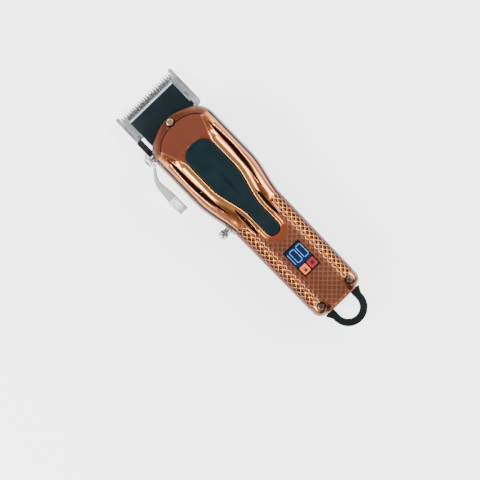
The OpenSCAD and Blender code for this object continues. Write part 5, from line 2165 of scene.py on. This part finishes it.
@dataclass
class TaperLever(SubAssembly):
    """Plated lever: round hub, arm that bends out, and a ribbed thumb pad."""

    pad_w: float = 6.6 * MM
    root_w: float = 2.6 * MM
    out: float = 6.2 * MM
    bend: float = 11.0 * MM
    thick: float = 2.8 * MM
    rib_pitch: float = 1.3 * MM
    hub_r: float = 5.5 * MM
    hub_t: float = 2.6 * MM
    crank: float = 3.2 * MM
    turn: float = 32.0
    pin_r: float = 1.2 * MM
    bore_r: float = 1.65 * MM

    def build(self) -> list[Piece]:
        """Builds the arm, the hub and the crank pin as one casting.

        Returns:
            The lever, as the only piece.
        """
        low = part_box("taper_lever")[0]
        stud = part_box("lever_stud")
        pivot = (stud[0] + stud[1]) / 2
        hub_y0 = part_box("blade_carriage")[1].y + 0.3 * MM
        hub_y1 = hub_y0 + self.hub_t
        arm = self._arm(pivot, (hub_y0 + hub_y1) / 2, low.x)
        r = self.hub_r
        across = Vector((0, 1, 0))
        middle = Vector((pivot.x, hub_y0, pivot.z))
        profile = [
            (0, r - 0.5 * MM), (0.4 * MM, r), (1.9 * MM, r), (2.4 * MM, r - 0.35 * MM),
            (self.hub_t, r - 0.9 * MM),
        ]
        hub = turned("hub", profile, middle, across)
        swing = math.radians(self.turn / 2)
        pin_at = Vector(
            (pivot.x + self.crank * math.sin(swing), low.y, pivot.z - self.crank * math.cos(swing))
        )
        pin_len = hub_y0 - low.y + 0.6 * MM
        pin = turned("pin", [(0, 0.9 * MM), (0.3 * MM, self.pin_r), (pin_len, self.pin_r)], pin_at, across)
        carve(hub, [arm, pin], Carve.ADD)
        carve(hub, [turned("bore", [(-9 * MM, self.bore_r), (9 * MM, self.bore_r)], middle, across)])
        hub.name = "taper_lever_plated"
        return [Piece(shade(hub, 38), ("satin_nickel",), LEVER, "chrome", ("taper_lever",))]

    def _arm(self, pivot: Vector, mid_y: float, tip_x: float) -> Part:
        """Arm with a rounded section; the pad has ribs across it and a square tip.

        Args:
            pivot: middle of the stud.
            mid_y: middle of the hub across the clipper.
            tip_x: where the arm ends.

        Returns:
            The arm.
        """
        root_x = pivot.x - self.hub_r + 1.2 * MM
        steps = 170
        rings = []
        turns = np.linspace(0, 2 * math.pi, 28, endpoint=False)
        for i in range(steps + 1):
            x = mix(root_x, tip_x, i / steps)
            run = (root_x - x) / self.bend
            mid = mid_y + self.out * math.sin(math.pi / 2 * min(run, 1.0))
            wide = mix(self.root_w, self.pad_w, float(smooth(run / 2))) / 2
            from_tip = x - tip_x
            tall = self.thick / 2
            if from_tip < 0.5 * MM:
                shrink = 0.5 * MM - math.sqrt(max(0.0, (0.5 * MM) ** 2 - (0.5 * MM - from_tip) ** 2))
                wide -= shrink
                tall -= shrink
            ribbed = float(smooth((from_tip - 2.6 * MM) / MM) * smooth((11.5 * MM - from_tip) / MM))
            rib = 0.28 * MM * ribbed * (0.5 - 0.5 * math.cos(2 * math.pi * from_tip / self.rib_pitch))
            ring = []
            for a in turns:
                c = math.copysign(abs(math.cos(a)) ** 0.45, math.cos(a))
                s = math.copysign(abs(math.sin(a)) ** 0.45, math.sin(a))
                up = (tall - rib) * s
                ring.append((x, mid + (wide - 0.6 * rib) * c, pivot.z + up))
            rings.append(ring)
        return loft("arm", np.array(rings))


# ---- side switch


@dataclass
class SideSwitch(SubAssembly):
    """Plated knob on a neck that slides in a long plate on the casing's side."""

    neck_r: float = 2.2 * MM
    head_r: float = 2.85 * MM
    head_len: float = 4.5 * MM
    neck_len: float = 2.6 * MM
    stem: tuple[float, float] = (3.0 * MM, 2.4 * MM)

    def build(self) -> list[Piece]:
        """Builds the knob with its stem, and the bezel with a rounded edge.

        Returns:
            The knob and the bezel.
        """
        low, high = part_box("switch_knob")
        x = (low.x + high.x) / 2
        z = (low.z + high.z) / 2
        head = high.y - self.head_len
        neck = head - self.neck_len
        r, e = self.head_r, self.head_r * 0.8
        profile = [
            (neck, self.neck_r), (head - 0.6 * MM, self.neck_r * 0.93), (head, self.neck_r),
            (head + 0.35 * MM, r * 0.93), (head + 0.7 * MM, r),
        ]
        profile += [
            (high.y - e + e * math.sin(a), r - e + e * math.cos(a)) for a in np.linspace(0, 1.5, 12)
        ]
        knob = turned("switch_knob_plated", profile, Vector((x, 0, z)), Vector((0, 1, 0)))
        w, h = self.stem
        stem = block("stem", (x - w / 2, low.y, z - h / 2), (x + w / 2, neck + 0.6 * MM, z + h / 2))
        carve(knob, [stem], Carve.ADD)
        low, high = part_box("switch_bezel")
        plate = prism("switch_bezel_plated", self._plate(low, high), 0, high.y - low.y)
        plate.data.transform(Matrix(((1, 0, 0, 0), (0, 0, 1, low.y), (0, 1, 0, 0), (0, 0, 0, 1))))
        slot_low = (low.x + 3.6 * MM, low.y - MM, z - 1.3 * MM)
        slot_high = (high.x - 2.6 * MM, high.y + MM, z + 1.3 * MM)
        carve(plate, [block("slot", slot_low, slot_high)])
        rounded(plate, 0.25 * MM)
        return [
            Piece(shade(knob, 38), ("chrome",), SWITCH, "chrome", ("switch_knob",)),
            Piece(plate, ("chrome",), CASING, "chrome", ("switch_bezel",)),
        ]

    def _plate(self, low: Vector, high: Vector) -> Outline:
        """Round-ended outline of the bezel, as pairs of x and z.

        Args:
            low: bezel's lower corner.
            high: bezel's upper corner.

        Returns:
            The points in order round it.
        """
        r = (high.z - low.z) / 2
        mid = (low.z + high.z) / 2
        return arc_points(high.x - r, mid, r, -90, 90, 16) + arc_points(low.x + r, mid, r, 90, 270, 16)


# ---- hidden parts


class HiddenParts:
    """Pieces inside the casing, which keep the CAD's shape."""

    FINISH_OF: dict[str, str] = {
        "inner_lid": "black_plastic", "display_module": "display_black", "control_board": "board_green",
        "board_parts": "component_black", "charge_board": "board_green", "charge_socket": "steel",
        "battery_cell": "cell_wrap", "battery_tabs": "steel", "chassis": "black_plastic",
        "motor_can": "steel",
        "motor_magnets": "magnet_grey", "motor_end_cap": "black_plastic", "motor_bracket": "steel",
        "motor_screws": "steel", "motor_rings": "rubber", "armature_core": "core_iron",
        "armature_windings": "winding", "commutator": "brass_part", "rotor_shaft": "steel",
        "crank_cam": "brass_part", "cutter_follower": "white_nylon", "follower_screws": "steel",
        "tension_spring": "steel", "spring_bridge": "black_plastic", "bridge_screws": "steel",
        "platform_screws": "steel", "guide_screws": "steel", "blade_screws": "steel", "lever_stud": "steel",
        "lever_washer": "steel", "switch_body": "black_plastic", "motor_leads": "wire_red",
        "battery_leads": "wire_red", "charge_leads": "wire_red",
    }

    def dress(self, finishes: Finishes) -> int:
        """Gives each hidden node its finish.

        Args:
            finishes: materials to take from.

        Returns:
            How many nodes there are.
        """
        for node, finish in self.FINISH_OF.items():
            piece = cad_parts[node]
            finishes.dress(piece, finish)
            shade(piece, 30)
        return len(self.FINISH_OF)


# ---- studio


@dataclass
class Studio:
    """Pale floor, soft lights and the camera above the clipper."""

    view_width: float = 290.4 * MM
    roll: float = 134.0
    centre: tuple[float, float] = (-7.9 * MM, 18.8 * MM)
    distance: float = 1.6
    floor_glow: float = 2.2
    floor_reach: float = 9.0
    floor_steps: int = 8
    floor_z: float = -0.02 * MM
    world_level: float = 0.55

    def build(self) -> None:
        """Sets up the floor, the lights, the world and the camera."""
        self._floor()
        self._world()
        self._light("lever_side", (0.12, 0.75, 0.55), 0.7, 0.3, 14.0)
        self._light("far_side", (-0.1, -0.8, 0.55), 0.8, 0.3, 14.0)
        self._light("nose", (0.85, -0.1, 0.55), 0.5, 0.25, 4.0)
        self._light("tail", (-0.85, 0.1, 0.55), 0.5, 0.25, 4.0)
        self._camera()

    def _floor(self) -> None:
        """A wide pale sheet under the clipper."""
        steps = self.floor_steps
        grid = np.linspace(-self.floor_reach, self.floor_reach, steps)
        points = [(x, y, self.floor_z) for x in grid for y in grid]
        faces = [
            (i * steps + j, (i + 1) * steps + j, (i + 1) * steps + j + 1, i * steps + j + 1)
            for i in range(steps - 1) for j in range(steps - 1)
        ]
        floor = mesh_from("floor", np.array(points), faces)
        paper = bpy.data.materials.new("pale_paper")
        paper.use_nodes = True
        surface = paper.node_tree.nodes["Principled BSDF"]
        surface.inputs["Base Color"].default_value = (0.9, 0.9, 0.9, 1)
        surface.inputs["Roughness"].default_value = 0.9
        surface.inputs["Emission Color"].default_value = (1, 1, 1, 1)
        surface.inputs["Emission Strength"].default_value = self.floor_glow
        floor.data.materials.append(paper)

    def _world(self) -> None:
        """Soft even light from all round."""
        world = bpy.data.worlds.new("studio")
        bpy.context.scene.world = world
        world.use_nodes = True
        background = world.node_tree.nodes["Background"]
        background.inputs["Color"].default_value = (0.95, 0.97, 1.0, 1)
        background.inputs["Strength"].default_value = self.world_level

    def _light(
        self, name: str, place: tuple[float, float, float], wide: float, tall: float, power: float
    ) -> None:
        """One soft box that faces the clipper.

        Args:
            name: lamp's name.
            place: where the lamp stands.
            wide: length of the lamp.
            tall: height of the lamp.
            power: power of the lamp, in watts.
        """
        data = bpy.data.lights.new(name, "AREA")
        data.shape = "RECTANGLE"
        data.size = wide
        data.size_y = tall
        data.energy = power
        lamp = bpy.data.objects.new(name, data)
        lamp.location = place
        lamp.rotation_euler = (Vector((0, 0, 0)) - Vector(place)).to_track_quat("-Z", "Y").to_euler()
        bpy.context.scene.collection.objects.link(lamp)

    def _camera(self) -> None:
        """Camera straight above, rolled so that the blade points to the upper left."""
        data = bpy.data.cameras.new("camera")
        data.sensor_width = 36.0
        data.lens = data.sensor_width * self.distance / self.view_width
        camera = bpy.data.objects.new("camera", data)
        turn = math.radians(self.roll)
        right = Vector((math.cos(turn), -math.sin(turn), 0))
        up = Vector((math.sin(turn), math.cos(turn), 0))
        x, y = self.centre
        camera.matrix_world = Matrix(
            ((right.x, up.x, 0, x), (right.y, up.y, 0, y), (0, 0, 1, self.distance), (0, 0, 0, 1))
        )
        bpy.context.scene.collection.objects.link(camera)
        bpy.context.scene.camera = camera


def main() -> None:
    """Builds the clipper's looks in order and reports each piece."""
    logging.basicConfig(level=logging.INFO, format="%(name)s: %(message)s")
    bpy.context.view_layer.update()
    finishes = Finishes(Effects())
    Studio().build()
    log.info("studio ready")
    casing = Casing()
    makers: list[SubAssembly] = [
        casing, Screws(), Display(), TaperLever(), SideSwitch(), StationaryBlade(), CutterBlade(),
        HangingLoop(casing.surface.tail_x),
    ]
    for maker in makers:
        pieces = maker.build()
        maker.dress(pieces, finishes)
        for piece in pieces:
            log.info("%s: %d points", piece.shape.name, len(piece.shape.data.vertices))
    log.info("%d plates of the blade set dressed", BladeCarriage().dress(finishes))
    log.info("%d hidden nodes dressed", HiddenParts().dress(finishes))
    bpy.context.view_layer.update()


if __name__ == "__main__":
    main()
